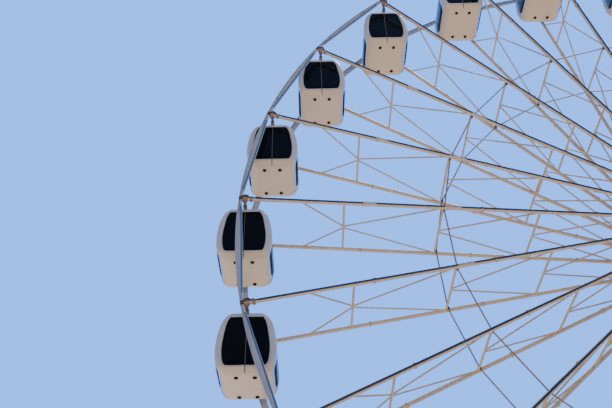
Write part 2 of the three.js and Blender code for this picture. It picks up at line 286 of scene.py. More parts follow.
def grown(source, growth, name, sizes, smooth_under=40):
    """Runs a node tree on a source object and returns the result as a plain mesh."""
    modifier = source.modifiers.new("grow", "NODES")
    modifier.node_group = growth.tree
    for item in growth.tree.interface.items_tree:
        if item.in_out == "INPUT" and item.name in sizes:
            modifier[item.identifier] = sizes[item.name]
    mesh = evaluated(source)
    mesh.name = name
    bpy.data.objects.remove(source)
    smoothed(mesh, smooth_under)
    return placed(name, mesh)


RING = {"Copies": SPOKES, "Step": -STEP, "First angle": FIRST_ANGLE, "Axle": HUB}
RING_SIZES = {"Copies": "Int", "Step": "Float", "First angle": "Float", "Axle": "Vector"}

# Round tubes along the edges of a skeleton, repeated round the axle.
tubes = Growth("tubes_round_the_wheel", {"Tube radius": "Float", "Sides": "Int", **RING_SIZES})
tube_paths = tubes.add("GeometryNodeMeshToCurve", "Curve", {"Mesh": tubes.given["Geometry"]})
tube_sizes = {"Resolution": tubes.given["Sides"], "Radius": tubes.given["Tube radius"]}
tube_circle = tubes.add("GeometryNodeCurvePrimitiveCircle", "Curve", tube_sizes)
tube_parts = {"Curve": tube_paths, "Profile Curve": tube_circle, "Fill Caps": True}
tubes.repeat_round_axle(tubes.add("GeometryNodeCurveToMesh", "Mesh", tube_parts))

# A solid fitting, made once at the upright spoke, repeated round the axle.
fittings = Growth("fittings_round_the_wheel", RING_SIZES)
fittings.repeat_round_axle(fittings.given["Geometry"])


def round_tubes(name, lines, radius, sides, paint):
    """Tubes along some lines of points, at every spoke."""
    points = []
    edges = []
    for line in lines:
        edges += [(len(points) + i, len(points) + i + 1) for i in range(len(line) - 1)]
        points += line
    sizes = {"Tube radius": radius, "Sides": sides, "Paint": paint, **RING}
    return grown(plain_mesh("skeleton", points, [], edges), tubes, name, sizes)


def riding(piece, body="wheel"):
    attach(piece, body)
    return piece


def painted_steel(name, colour, roughness, dust, dust_share, rust_share=0.0, shine=0.5):
    """Sprayed paint on steel: a slight orange peel, uneven gloss, dust in streaks, and rust spots."""
    finish = Finish(name)
    cloud = finish.noise(0.5, 6)
    streaks = finish.noise(1.0, 4, stretch=(9, 9, 1.1))
    dusty = finish.between(finish.combined("MULTIPLY", cloud, streaks), 0.12, 0.48, 0.0, dust_share)
    tint = finish.mixed(dusty, colour, dust)
    if rust_share:
        spots = finish.between(finish.noise(3.1, 9), 0.60, 0.72, 0.0, rust_share)
        tint = finish.mixed(spots, tint, RUST)
    finish.set("Base Color", tint)
    finish.set("Roughness", finish.between(cloud, 0.3, 0.7, roughness - 0.08, roughness + 0.14))
    finish.set("Specular IOR Level", shine)
    finish.bump(finish.noise(160, 2), 0.12, 0.002)
    return finish.material


wheel_paint = painted_steel("wheel_paint", (0.52, 0.42, 0.305, 1), 0.38,
                            dust=(0.24, 0.17, 0.11, 1), dust_share=0.45, rust_share=0.2)
bar_paint = painted_steel("bar_paint", (0.50, 0.385, 0.205, 1), 0.48,
                          dust=(0.24, 0.165, 0.09, 1), dust_share=0.45, rust_share=0.2, shine=0.2)
dark_steel = painted_steel("dark_steel", (0.014, 0.014, 0.016, 1), 0.5,
                           dust=(0.05, 0.045, 0.04, 1), dust_share=0.5, shine=0.3)

chord_lines = [[(0, side * RIM_OFFSET, end) for end in (FLANGE_RADIUS, HEAD_RADIUS)] for side in (-1, 1)]
chords = round_tubes("spoke_chords", chord_lines, CHORD_RADIUS, TUBE_SIDES["chord"], wheel_paint)
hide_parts(*[f"spoke_{i + 1:02d}" for i in range(SPOKES)])
riding(chords)

cross_lines = [[(0, -RIM_OFFSET, radius), (0, RIM_OFFSET, radius)] for radius in CROSS_RADII]
riding(round_tubes("spoke_cross_bars", cross_lines, CROSS_BAR_RADIUS, TUBE_SIDES["cross_bar"], bar_paint))

brace_ends = [*zip(CROSS_RADII[:0:-1], CROSS_RADII[-2::-1]), (CROSS_RADII[-1], OUTER_BRACE_RADIUS),
              (CROSS_RADII[0], INNER_BRACE_RADIUS)]
brace_lines = [
    [(0, side * BRACE_SPREAD, middle_radius), (0, side * BRACE_REACH, end_radius)]
    for side in (-1, 1) for middle_radius, end_radius in brace_ends
]
riding(round_tubes("spoke_braces", brace_lines, BRACE_RADIUS, TUBE_SIDES["brace"], bar_paint))

# Spoke fittings
# Turned steel collars where a chord's tubes are bolted end to end, a foot flange on the hub, and a dark
# forged clamp at the waist that takes the thin ties from spoke to spoke.

COLLAR = {"radius": 0.100, "sides": 20, "chamfer": 0.004}
COLLAR_THICKNESS = 0.028
COLLAR_GAP = 0.003
COLLAR_RADII = [4.4, 8.4, 12.61]
COLLAR_BOLTS = {"circle": 0.0875, "count": 8, "radius": 0.010, "length": 0.014}
SEAT_GAP = 0.001  # between two pieces that are bolted face to face
FOOT_FLANGE = {"radius": 0.13, "sides": 24, "chamfer": 0.004}
FOOT_FLANGE_THICKNESS = 0.03
FOOT_FLANGE_BOLTS = {"circle": 0.106, "count": 8, "radius": 0.013, "length": 0.018}
CLAMP_RADIUS = 9.74
CLAMP_OFFSET = 1.245
CLAMP = {"half_x": 0.042, "half_y": 0.062, "low": CLAMP_RADIUS - 0.046, "high": CLAMP_RADIUS + 0.046,
         "chamfer": 0.012}
CLAMP_BOLTS = {"circle": 0.026, "count": 4, "radius": 0.008, "length": 0.008}


class Solid:
    """Points and faces gathered for one piece."""

    def __init__(self):
        self.points = []
        self.faces = []

    def add(self, points, faces):
        start = len(self.points)
        self.points += [tuple(p) for p in points]
        self.faces += [tuple(start + i for i in face) for face in faces]

    def rings(self, rings, closed=False):
        """Skins a row of rings of equally many points; the two ends are capped unless the row closes."""
        n = len(rings[0])
        count = len(rings)
        faces = []
        for r in range(count if closed else count - 1):
            a, b = r * n, ((r + 1) % count) * n
            faces += [(a + i, a + (i + 1) % n, b + (i + 1) % n, b + i) for i in range(n)]
        if not closed:
            faces += [tuple(range(n - 1, -1, -1)), tuple(range((count - 1) * n, count * n))]
        self.add([p for ring in rings for p in ring], faces)

    def prism(self, start, end, radius, sides, chamfer=0.0):
        """A round bar between two points, its ends chamfered."""
        start, end = Vector(start), Vector(end)
        along = (end - start).normalized()
        side = along.orthogonal().normalized()
        other = along.cross(side)
        stations = [(start, radius), (end, radius)]
        if chamfer:
            stations = [(start, radius - chamfer), (start + along * chamfer, radius),
                        (end - along * chamfer, radius), (end, radius - chamfer)]
        turns = [2 * math.pi * i / sides for i in range(sides)]
        self.rings([
            [middle + (side * math.cos(turn) + other * math.sin(turn)) * reach for turn in turns]
            for middle, reach in stations
        ])

    def block(self, low, high, chamfer=0.0):
        """A box between two opposite corners; the chamfer is cut on the four edges along Y."""
        x0, x1 = sorted((low[0], high[0]))
        y0, y1 = sorted((low[1], high[1]))
        z0, z1 = low[2], high[2]
        c = chamfer
        outline = [(x0, z0), (x1, z0), (x1, z1), (x0, z1)]
        if c:
            outline = [(x0 + c, z0), (x1 - c, z0), (x1, z0 + c), (x1, z1 - c), (x1 - c, z1), (x0 + c, z1),
                       (x0, z1 - c), (x0, z0 + c)]
        self.rings([[(x, y, z) for x, z in outline] for y in (y0, y1)])

    def upright(self, x, y, half_x, half_y, low, high, chamfer=0.0):
        """A box round an upright line, from one height to another."""
        self.block((x - half_x, y - half_y, low), (x + half_x, y + half_y, high), chamfer)

    def column(self, x, y, low, high, radius, sides, chamfer=0.0):
        """A round bar that stands upright."""
        self.prism((x, y, low), (x, y, high), radius, sides, chamfer)

    def plate(self, outline, thickness):
        """A flat plate: its outline in space, thickened to both sides along its own normal."""
        outline = [Vector(p) for p in outline]
        normal = (outline[1] - outline[0]).cross(outline[2] - outline[0]).normalized() * (thickness / 2)
        self.rings([[p - normal for p in outline], [p + normal for p in outline]])

    def turned(self, profile, sides=48, middle=(0, 0, 0)):
        """A closed profile of (radius, y) turned about a line along Y."""
        turns = [2 * math.pi * i / sides for i in range(sides)]
        x, y, z = middle
        self.rings([
            [(x + r * math.sin(turn), y + along, z + r * math.cos(turn)) for turn in turns]
            for r, along in profile
        ], closed=True)

    def bolt(self, at, along, radius, length):
        """One hexagon head that stands out along an axis."""
        self.prism(at, Vector(at) + Vector(along) * length, radius, 6)

    def bolts(self, middle, along, circle, count, radius, length):
        """Hexagon heads on a circle, standing out along an axis."""
        along = Vector(along).normalized()
        side = along.orthogonal().normalized()
        other = along.cross(side)
        for i in range(count):
            turn = 2 * math.pi * (i + 0.5) / count
            at = Vector(middle) + (side * math.cos(turn) + other * math.sin(turn)) * circle
            self.bolt(at, along, radius, length)

    def made(self, name, paint=None, smooth_under=35):
        made = outward(plain_mesh(name, self.points, self.faces))
        if paint is not None:
            made.data.materials.append(paint)
        smoothed(made.data, smooth_under)
        return made


def outward(made):
    """Merges doubles and turns all the faces outwards."""
    work = bmesh.new()
    work.from_mesh(made.data)
    bmesh.ops.remove_doubles(work, verts=work.verts, dist=1e-5)
    bmesh.ops.recalc_face_normals(work, faces=work.faces)
    work.to_mesh(made.data)
    work.free()
    return made


def round_wheel(name, solid, paint, skipped=0):
    """The solid at every spoke, or at all but so many of those that follow spoke 1."""
    ring = dict(RING)
    if skipped:
        ring["Copies"] = SPOKES - skipped
        ring["First angle"] = FIRST_ANGLE - (skipped + 1) * STEP
    return riding(grown(solid.made("source"), fittings, name, {"Paint": paint, **ring}, 35))


collars = Solid()
for y in (-RIM_OFFSET, RIM_OFFSET):
    for radius in COLLAR_RADII:
        for low in (radius - COLLAR_THICKNESS - COLLAR_GAP, radius + COLLAR_GAP):
            collars.column(0, y, low, low + COLLAR_THICKNESS, **COLLAR)
        collars.bolts((0, y, radius + COLLAR_GAP + COLLAR_THICKNESS), (0, 0, 1), **COLLAR_BOLTS)
    foot = FLANGE_RADIUS + SEAT_GAP
    collars.column(0, y, foot, foot + FOOT_FLANGE_THICKNESS, **FOOT_FLANGE)
    collars.bolts((0, y, foot + FOOT_FLANGE_THICKNESS), (0, 0, 1), **FOOT_FLANGE_BOLTS)
round_wheel("spoke_collars", collars, wheel_paint)

# Split sleeves round the chords' heads, rusted at their edges, and the pillow blocks on their inner faces
# that hold the cabins' shafts.
PIVOT_RADIUS = first.length
HOUSING_OFFSET = 1.27
HOUSING = {"half_x": 0.085, "half_y": 0.055, "low": PIVOT_RADIUS - 0.07, "high": PIVOT_RADIUS + 0.07,
           "chamfer": 0.03}
HOUSING_BOLTS = {"circle": 0.066, "count": 4, "radius": 0.011, "length": 0.012}
SLEEVES = [(16.60, 16.72), (16.78, 16.94)]
SLEEVE = {"radius": 0.090, "sides": 20, "chamfer": 0.006}
LUG = {"half_x": 0.02, "half_y": 0.015}
LUG_X = (-0.105, 0.105)
LUG_INSET = 0.02  # from a sleeve's end to its lug's
LUG_BOLT = {"radius": 0.016, "length": 0.06}
housings = Solid()
for side in (-1, 1):
    y = side * RIM_OFFSET
    for low, high in SLEEVES:
        housings.column(0, y, low, high, **SLEEVE)
        for x in LUG_X:
            housings.bolt((x, y - LUG_BOLT["length"] / 2, (low + high) / 2), (0, 1, 0), **LUG_BOLT)
            housings.upright(x, y, low=low + LUG_INSET, high=high - LUG_INSET, **LUG)
    housings.upright(0, side * HOUSING_OFFSET, **HOUSING)
    inner_face = side * (HOUSING_OFFSET - HOUSING["half_y"])
    housings.bolts((0, inner_face, PIVOT_RADIUS), (0, -side, 0), **HOUSING_BOLTS)
housing_steel = painted_steel("housing_steel", (0.26, 0.18, 0.12, 1), 0.5,
                              dust=(0.10, 0.055, 0.03, 1), dust_share=0.8, rust_share=0.8)
round_wheel("shaft_housings", housings, housing_steel)

clamps = Solid()
tie_lines = []
for y in (-CLAMP_OFFSET, CLAMP_OFFSET):
    clamps.upright(0, y, **CLAMP)
    clamps.bolts((0, y - CLAMP["half_y"], CLAMP_RADIUS), (0, -1, 0), **CLAMP_BOLTS)
    next_clamp = (-CLAMP_RADIUS * math.sin(STEP), y, CLAMP_RADIUS * math.cos(STEP))
    tie_lines.append([(0, y, CLAMP_RADIUS), next_clamp])
round_wheel("tie_clamps", clamps, dark_steel)
tie_steel = painted_steel("tie_steel", (0.27, 0.20, 0.115, 1), 0.5,
                          dust=(0.24, 0.18, 0.12, 1), dust_share=0.5, shine=0.2)
riding(round_tubes("ties", tie_lines, TIE_RADIUS, TUBE_SIDES["tie"], tie_steel))

# Light strips
# Long plastic housings with a smoked cover, clipped along the front face of every front chord and of the
# front rim, in lengths with short gaps, and the black cable that feeds them from the rim.

STRIP_HALF_WIDTH = 0.036
RIM_STRIP_HALF_WIDTH = 0.027
STRIP_DEPTH = 0.030
STRIP_LENGTHS = [(1.6, 3.895), (3.905, 6.195), (6.205, 9.1), (9.8, 12.12), (12.66, 14.6), (14.61, 16.5)]
CABLE_RADIUS = 0.018
CABLE_LOOPS = [
    [(0.0, -0.098, 16.70), (0.03, -0.110, 16.75), (0.075, -0.115, 16.80), (0.105, -0.105, 16.87),
     (0.100, -0.085, 16.94), (0.065, -0.065, 17.0), (0.035, -0.04, 17.03)],
    [(0.0, -0.098, 16.70), (0.02, -0.112, 16.78), (0.045, -0.118, 16.84), (0.055, -0.105, 16.91),
     (0.035, -0.080, 16.97), (0.0, -0.060, 17.02)],
]
CONNECTORS = [(9.1, 9.16), (9.74, 9.8), (12.12, 12.18), (12.60, 12.66), (16.5, 16.74)]
CONNECTOR = {"half_width": 0.024, "depth": 0.024, "back": 0.01, "chamfer": 0.006}
GAP_CABLES = [(9.13, 9.77), (12.15, 12.63)]
GAP_CABLE_END = (0.03, 0.004)  # across the chord, and back from its front face
GAP_CABLE_MIDDLE = (0.034, 0.012)
HOOD = {"half_length": 0.07, "half_width": 0.037, "depth": 0.042}


def smoked_plastic(name, colour, roughness):
    finish = Finish(name)
    grime = finish.noise(5)
    dusty = (colour[0] * 2.2, colour[1] * 1.9, colour[2] * 1.5, 1)
    finish.set("Base Color", finish.mixed(grime, colour, dusty))
    finish.set("Roughness", finish.between(grime, 0, 1, roughness - 0.1, roughness + 0.2))
    finish.bump(finish.noise(40, 2), 0.05, 0.001)
    return finish.material


spoke_strip_cover = smoked_plastic("spoke_strip_cover", (0.010, 0.016, 0.036, 1), 0.45)
rim_strip_cover = smoked_plastic("rim_strip_cover", (0.030, 0.080, 0.17, 1), 0.3)
cable_black = smoked_plastic("cable_black", (0.006, 0.006, 0.006, 1), 0.6)


def strip(solid, start, end, out, across, half_width, depth=STRIP_DEPTH):
    """A trapezoid housing from start to end, standing out from the tube."""
    start, end, out, wide = Vector(start), Vector(end), Vector(out), Vector(across)
    section = [(-1, 0), (-1, 0.6), (-0.62, 1), (0.62, 1), (1, 0.6), (1, 0)]
    solid.rings([
        [p + wide * (w * half_width) + out * (d * depth) for w, d in section] for p in (start, end)
    ])


chord_face = -RIM_OFFSET - CHORD_RADIUS * 0.86


def chord_strip(solid, low, high, half_width=STRIP_HALF_WIDTH, depth=STRIP_DEPTH):
    """A length of strip on the front face of the upright spoke's front chord."""
    strip(solid, (0, chord_face, low), (0, chord_face, high), (0, -1, 0), (1, 0, 0), half_width, depth)


def collar_hood(solid, radius):
    """A deeper hood that takes the strip over a collar."""
    low, high = radius - HOOD["half_length"], radius + HOOD["half_length"]
    chord_strip(solid, low, high, HOOD["half_width"], HOOD["depth"])


chord_strips = Solid()
for low, high in STRIP_LENGTHS:
    chord_strip(chord_strips, low, high)
for radius in COLLAR_RADII[:2]:
    collar_hood(chord_strips, radius)
round_wheel("spoke_lights", chord_strips, spoke_strip_cover)

# The photo shows two gaps in the strips of spokes 2 to 4, and the inner one on spoke 5 too. On the other
# spokes both are closed.
inner_fill = Solid()
chord_strip(inner_fill, STRIP_LENGTHS[2][1], STRIP_LENGTHS[3][0])
round_wheel("inner_strip_fills", inner_fill, spoke_strip_cover, skipped=4)
outer_fill = Solid()
chord_strip(outer_fill, STRIP_LENGTHS[3][1], STRIP_LENGTHS[4][0])
collar_hood(outer_fill, COLLAR_RADII[2])
round_wheel("outer_strip_fills", outer_fill, spoke_strip_cover, skipped=3)

plugs = Solid()
for low, high in CONNECTORS:
    plugs.block((-CONNECTOR["half_width"], chord_face - CONNECTOR["depth"], low),
                (CONNECTOR["half_width"], chord_face + CONNECTOR["back"], high), CONNECTOR["chamfer"])
round_wheel("strip_connectors", plugs, cable_black)
cable_lines = [[(x, y - RIM_OFFSET, z) for x, y, z in loop] for loop in CABLE_LOOPS]
for low, high in GAP_CABLES:
    stations = ((GAP_CABLE_END, low), (GAP_CABLE_MIDDLE, (low + high) / 2), (GAP_CABLE_END, high))
    cable_lines.append([(x, chord_face + back, z) for (x, back), z in stations])
riding(round_tubes("strip_cables", cable_lines, CABLE_RADIUS, 8, cable_black))

# Rims
# Each rim is twenty-four welded lengths: a straight round tube inside, a rolled flat outside for the drive
# tyres, and a plate web between them. Their end plates are bolted together at the spokes.


def corners(a, b):
    """The four places at plus and minus two distances."""
    return [(-a, -b), (-a, b), (a, -b), (a, b)]


NODE_RADIUS = 17.0  # where a spoke meets the rim
TRACK_RADIUS = 17.112
TRACK_WIDTH = 0.118
TRACK_THICKNESS = 0.02
RIM_TUBE_RADIUS = 0.044
RIM_TUBE_INSET = 0.045  # the tube's centre line lies outside the line between two nodes
rim_inner = NODE_RADIUS + RIM_TUBE_INSET
WEB_THICKNESS = 0.014
WEB_LAP = 0.004  # how far the web runs into the flat
ARC_PARTS = 16
END_PLATE_X = 0.045
END_PLATE = {"half_x": 0.011, "half_y": 0.075, "low": rim_inner - 0.07, "high": rim_inner + 0.075,
             "chamfer": 0.012}
END_BOLT = {"radius": 0.012, "length": 0.016}
END_BOLT_PLACES = corners(0.045, 0.055)
SADDLE = {"half_x": 0.04, "half_y": 0.055, "low": HEAD_RADIUS - 0.02, "high": rim_inner + 0.03,
          "chamfer": 0.012}
SADDLE_FLANGES = [(0.075, 0.045), (0.04, 0.01)]  # how far under the spoke's head each begins and ends
SADDLE_FLANGE = {"radius": 0.094, "sides": 20, "chamfer": 0.004}
RIM_STRIP_SHARES = [(0.088, 0.36), (0.363, 0.637), (0.64, 0.912)]


def wheel_point(radius, angle, y=0.0):
    return (radius * math.sin(angle), y, radius * math.cos(angle))


def straight_edge(angle):
    """The distance from the axle of the line between two nodes, at an angle from the first."""
    return NODE_RADIUS * math.cos(STEP / 2) / math.cos(angle + STEP / 2) + RIM_TUBE_INSET


def bent_bar(solid, y, half_width, outer, inner_at):
    """A bar from the upright spoke to the next, between an outer radius and an inner edge."""
    sections = []
    for i in range(ARC_PARTS + 1):
        turn = -STEP * i / ARC_PARTS
        inner = inner_at(turn)
        section = ((outer, -half_width), (outer, half_width), (inner, half_width), (inner, -half_width))
        sections.append([wheel_point(radius, turn, y + wide) for radius, wide in section])
    solid.rings(sections)


rim_paint = painted_steel("rim_paint", (0.37, 0.415, 0.48, 1), 0.36,
                          dust=(0.20, 0.17, 0.15, 1), dust_share=0.4, rust_share=0.3)
track_under = TRACK_RADIUS - TRACK_THICKNESS
for name, side in (("rim_front", -1), ("rim_rear", 1)):
    y = side * RIM_OFFSET
    bars = Solid()
    bent_bar(bars, y, TRACK_WIDTH / 2, TRACK_RADIUS, lambda turn: track_under)
    bent_bar(bars, y, WEB_THICKNESS / 2, track_under + WEB_LAP, straight_edge)
    bars.prism(wheel_point(rim_inner, 0, y), wheel_point(rim_inner, -STEP, y), RIM_TUBE_RADIUS, 18)
    whole = round_wheel(f"{name}_lengths", bars, rim_paint)
    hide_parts(name)

    plates = Solid()
    for way in (-1, 1):
        plates.upright(way * END_PLATE_X, y, **END_PLATE)
        outer_face = way * (END_PLATE_X + END_PLATE["half_x"])
        for z, wide in END_BOLT_PLACES:
            plates.bolt((outer_face, y + wide, rim_inner + z), (way, 0, 0), **END_BOLT)
    round_wheel(f"{name}_end_plates", plates, dark_steel)

    saddles = Solid()
    saddles.upright(0, y, **SADDLE)
    for start, end in SADDLE_FLANGES:
        saddles.column(0, y, HEAD_RADIUS - start, HEAD_RADIUS - end, **SADDLE_FLANGE)
    round_wheel(f"{name}_saddles", saddles, housing_steel)

rim_strips = Solid()
strip_y = -RIM_OFFSET - RIM_TUBE_RADIUS * 0.8
start, end = (Vector(wheel_point(rim_inner, turn, strip_y)) for turn in (0, -STEP))
wide = Vector((0, 1, 0)).cross((end - start).normalized())
for low, high in RIM_STRIP_SHARES:
    strip(rim_strips, start.lerp(end, low), start.lerp(end, high), (0, -1, 0), wide, RIM_STRIP_HALF_WIDTH)
round_wheel("rim_lights", rim_strips, rim_strip_cover)

# Cabins
# A moulded fibreglass shell with a proud rounded hoop at the front and the rear, a belly that sweeps under
# to a flat floor, dark sliding doors front and rear, and a blown side window on the left and on the right.

HOOP_OUTLINE = [(0, -0.120), (0.47, -0.125), (0.65, -0.205), (0.79, -0.39), (0.885, -0.65), (0.952, -0.98),
                (0.989, -1.38), (0.980, -1.72), (0.922, -2.00), (0.835, -2.165), (0.69, -2.268),
                (0.49, -2.302), (0, -2.302)]
PANEL_OUTLINE = [(0, -0.155), (0.39, -0.16), (0.57, -0.25), (0.715, -0.43), (0.82, -0.67), (0.895, -0.98),
                 (0.936, -1.38), (0.938, -1.72), (0.903, -1.99), (0.820, -2.155), (0.67, -2.262),
                 (0.46, -2.302), (0, -2.302)]
WINDOW = [(0, -0.305), (0.45, -0.305), (0.55, -0.335), (0.645, -0.56), (0.71, -0.93), (0.757, -1.30),
          (0.757, -1.62), (0.722, -1.90), (0.66, -2.025), (0.55, -2.06), (0, -2.06)]
CENTRE = -1.22
RING_POINTS = 96
WALL = 0.05
HOOP_BACK = 0.80  # the hoop's inner side, from the cabin's middle
FACE_HEIGHTS = [-2.302, -2.05, -0.31, -0.10]
FACE_DEPTHS = [1.066, 1.062, 1.017, 1.005]  # from the cabin's middle to its front, at those heights
EDGE_IN = (0.11, 0.235)  # how far the front edge is rounded inwards, in general and under the belly
EDGE_BACK = (0.13, 0.29)  # how far it is rounded backwards, in the same two places
# The step from the hoop down to the panel: the share of its depth, and the place along the cabin.
HOOP_STEP = [(0, 0.014), (0.12, 0.003), (0.35, -0.004), (0.80, -0.012), (0.95, -0.020), (1, -0.035)]
ANGLES = np.arange(RING_POINTS) * 2 * np.pi / RING_POINTS
DIRECTION = np.stack([np.sin(ANGLES), np.cos(ANGLES)], axis=1)


def reach_of(half_points, steps=10):
    """How far a smooth outline reaches from the cabin's centre at each of the ring's angles."""
    loop = np.array(half_points + [(-x, z) for x, z in half_points[-2:0:-1]])
    n = len(loop)
    curve = []
    for i in range(n):
        p0, p1, p2, p3 = (loop[(i + k) % n] for k in (-1, 0, 1, 2))
        for t in np.arange(steps) / steps:
            curve.append(0.5 * (2 * p1 + (p2 - p0) * t + (2 * p0 - 5 * p1 + 4 * p2 - p3) * t ** 2
                                + (3 * p1 - p0 - 3 * p2 + p3) * t ** 3))
    curve = np.array(curve)
    angle = np.arctan2(curve[:, 0], curve[:, 1] - CENTRE) % (2 * np.pi)
    order = np.argsort(angle)
    reach = np.hypot(curve[:, 0], curve[:, 1] - CENTRE)
    return np.interp(ANGLES, angle[order], reach[order], period=2 * np.pi)


hoop_reach = reach_of(HOOP_OUTLINE)
panel_reach = reach_of(PANEL_OUTLINE)
window_reach = reach_of(WINDOW)


def face_depth(z):
    """How far the front of the shell stands from the cabin's middle at a height."""
    return np.interp(z, FACE_HEIGHTS, FACE_DEPTHS)


underness = np.clip((-DIRECTION[:, 1] - 0.55) / 0.35, 0, 1)  # 0 round the front, 1 under the belly
edge_in = EDGE_IN[0] + (EDGE_IN[1] - EDGE_IN[0]) * underness
edge_back = EDGE_BACK[0] + (EDGE_BACK[1] - EDGE_BACK[0]) * underness


def ring_at(reach, depth):
    x = DIRECTION[:, 0] * reach
    z = CENTRE + DIRECTION[:, 1] * reach
    return np.stack([x, depth(z) if callable(depth) else np.broadcast_to(depth, x.shape), z], axis=1)


def shell_half():
    """Rings from the front window's edge, over the hoop and down its inner side, to the cabin's middle."""
    lip = np.minimum(window_reach + 0.03, hoop_reach - edge_in - 0.002)
    rings = [
        ring_at(window_reach, lambda z: face_depth(z) - 0.02),
        ring_at(window_reach + 0.008, lambda z: face_depth(z) - 0.004),
        ring_at(lip, face_depth),
        ring_at((lip + hoop_reach - edge_in) / 2, face_depth),
    ]
    for turn in np.radians(np.linspace(90, 0, 8)):
        ring = ring_at(hoop_reach - edge_in * (1 - math.cos(turn)), face_depth)
        ring[:, 1] -= edge_back * (1 - math.sin(turn))
        rings.append(ring)
    back = np.minimum(HOOP_BACK, rings[-1][:, 1] - 0.03)
    step = hoop_reach - panel_reach
    for share, place in HOOP_STEP:
        rings.append(ring_at(hoop_reach - step * share, back + place))
    for share in (0.75, 0.5, 0.25):
        rings.append(ring_at(panel_reach, (back + HOOP_STEP[-1][1]) * share))
    return rings


def finished(made, smooth_under=38):
    """Applies the modifiers and leaves a plain mesh."""
    mesh = evaluated(made)
    made.modifiers.clear()
    made.data = mesh
    smoothed(mesh, smooth_under)
    return made


def open_skin(rings, name):
    """A sheet through a row of rings, open at both ends."""
    n = len(rings[0])
    faces = [(r * n + i, (r + 1) * n + i, (r + 1) * n + (i + 1) % n, r * n + (i + 1) % n)
             for r in range(len(rings) - 1) for i in range(n)]
    return outward(plain_mesh(name, np.concatenate(rings), faces))


half_rings = shell_half()
front_rings = [ring * np.array([1, -1, 1]) for ring in half_rings]
shell = open_skin([*front_rings, ring_at(panel_reach, 0.0), *half_rings[::-1]], "shell")
wall = shell.modifiers.new("wall", "SOLIDIFY")
wall.thickness = WALL
wall.offset = -1
wall.material_offset = 1  # the inside is lined

SIDE_OPENING = {"half": 0.70, "top": -0.60, "foot": -1.98, "corner": 0.18}
SIDE_LAP = 0.035
BLOWN_HEIGHTS = [-2.04, -1.95, -1.75, -1.40, -1.00, -0.56]
BLOWN_HALF_WIDTHS = [0.962, 0.981, 0.987, 0.985, 0.948, 0.862]
BLOWN_SHARES = [1, 0.99, 0.975, 0.95, 0.92, 0.88, 0.82, 0.74, 0.60, 0.40, 0.20]
GLASS = 0.008
DOOR = {"gap": 0.010, "lap": 0.004, "least_width": 0.30, "recess": 0.034, "bulge": 0.010}
CUTTER_REACH = 1.5


def side_outline(grow=0.0, parts=7):
    """The side window's rounded oblong in Y and Z, grown by a lap."""
    half, top = SIDE_OPENING["half"] + grow, SIDE_OPENING["top"] + grow
    foot, corner = SIDE_OPENING["foot"] - grow, SIDE_OPENING["corner"] + grow
    high, low = top - corner, foot + corner
    loop = []
    for quarter, (way, z) in enumerate(((1, high), (-1, high), (-1, low), (1, low))):
        for i in range(parts + 1):
            angle = math.pi / 2 * (quarter + i / parts)
            loop.append((way * (half - corner) + corner * math.cos(angle), z + corner * math.sin(angle)))
    return loop


cutter = Solid()
cutter.rings([[(x, y, z) for y, z in side_outline()] for x in (-CUTTER_REACH, CUTTER_REACH)])
cutter = cutter.made("cutter")
cut = shell.modifiers.new("side_windows", "BOOLEAN")
cut.operation = "DIFFERENCE"
cut.solver = "EXACT"
cut.object = cutter
finished(shell)
bpy.data.objects.remove(cutter)


def half_width(reach, z):
    """The half-width at a height of the outline with these reaches."""
    right = (ANGLES > 0.03) & (ANGLES < np.pi - 0.03)
    heights = (CENTRE + DIRECTION[:, 1] * reach)[right]
    order = np.argsort(heights)
    return float(np.interp(z, heights[order], (DIRECTION[:, 0] * reach)[right][order]))


def blown_window(solid, side):
    """A side window: a blown blister, fullest near its foot, that laps over the opening's edge."""
    loop = np.array(side_outline(SIDE_LAP))
    middle = np.array([0, (SIDE_OPENING["top"] + SIDE_OPENING["foot"]) / 2])
    n = len(loop)
    rows = len(BLOWN_SHARES)
    points = []
    bluntness = 4 + 6 * np.abs(loop[:, 0]) / loop[:, 0].max()  # greatest at the front and the rear edge
    for share in BLOWN_SHARES:
        for (y, z), power in zip(middle + (loop - middle) * share, bluntness):
            flat = half_width(panel_reach, z) + 0.010
            blown = np.interp(z, BLOWN_HEIGHTS, BLOWN_HALF_WIDTHS)
            points.append((side * (flat + (blown - flat) * (1 - share ** power)), y, z))
    points.append((side * np.interp(middle[1], BLOWN_HEIGHTS, BLOWN_HALF_WIDTHS), 0, middle[1]))
    faces = [(r * n + i, r * n + (i + 1) % n, (r + 1) * n + (i + 1) % n, (r + 1) * n + i)
             for r in range(rows - 1) for i in range(n)]
    last = (rows - 1) * n
    faces += [(last + i, last + (i + 1) % n, len(points) - 1) for i in range(n)]
    solid.add(points, faces)


def door_leaf(solid, side, hand, rows=22, columns=6):
    """The glass of one door leaf: side is -1 at the front, hand is -1 on the left."""
    top, foot = WINDOW[0][1], WINDOW[-1][1]
    points = []
    for r in range(rows + 1):
        z = top + (foot - top) * (0.5 - 0.5 * math.cos(math.pi * r / rows))
        opening = half_width(window_reach, min(max(z, foot + 0.002), top - 0.002))
        width = max(opening, DOOR["least_width"]) + DOOR["lap"]
        for c in range(columns + 1):
            x = DOOR["gap"] + (width - DOOR["gap"]) * c / columns
            bulge = DOOR["bulge"] * (1 - (x / 0.8) ** 2)
            points.append((hand * x, side * (float(face_depth(z)) - DOOR["recess"] + bulge), z))
    faces = []
    for r in range(rows):
        for a in range(r * (columns + 1), r * (columns + 1) + columns):
            faces.append((a, a + 1, a + columns + 2, a + columns + 1))
    solid.add(points, faces)


def thickened(solid, name, thickness):
    sheet = solid.made(name)
    body = sheet.modifiers.new("thickness", "SOLIDIFY")
    body.thickness = thickness
    body.offset = 0
    return finished(sheet, 50)


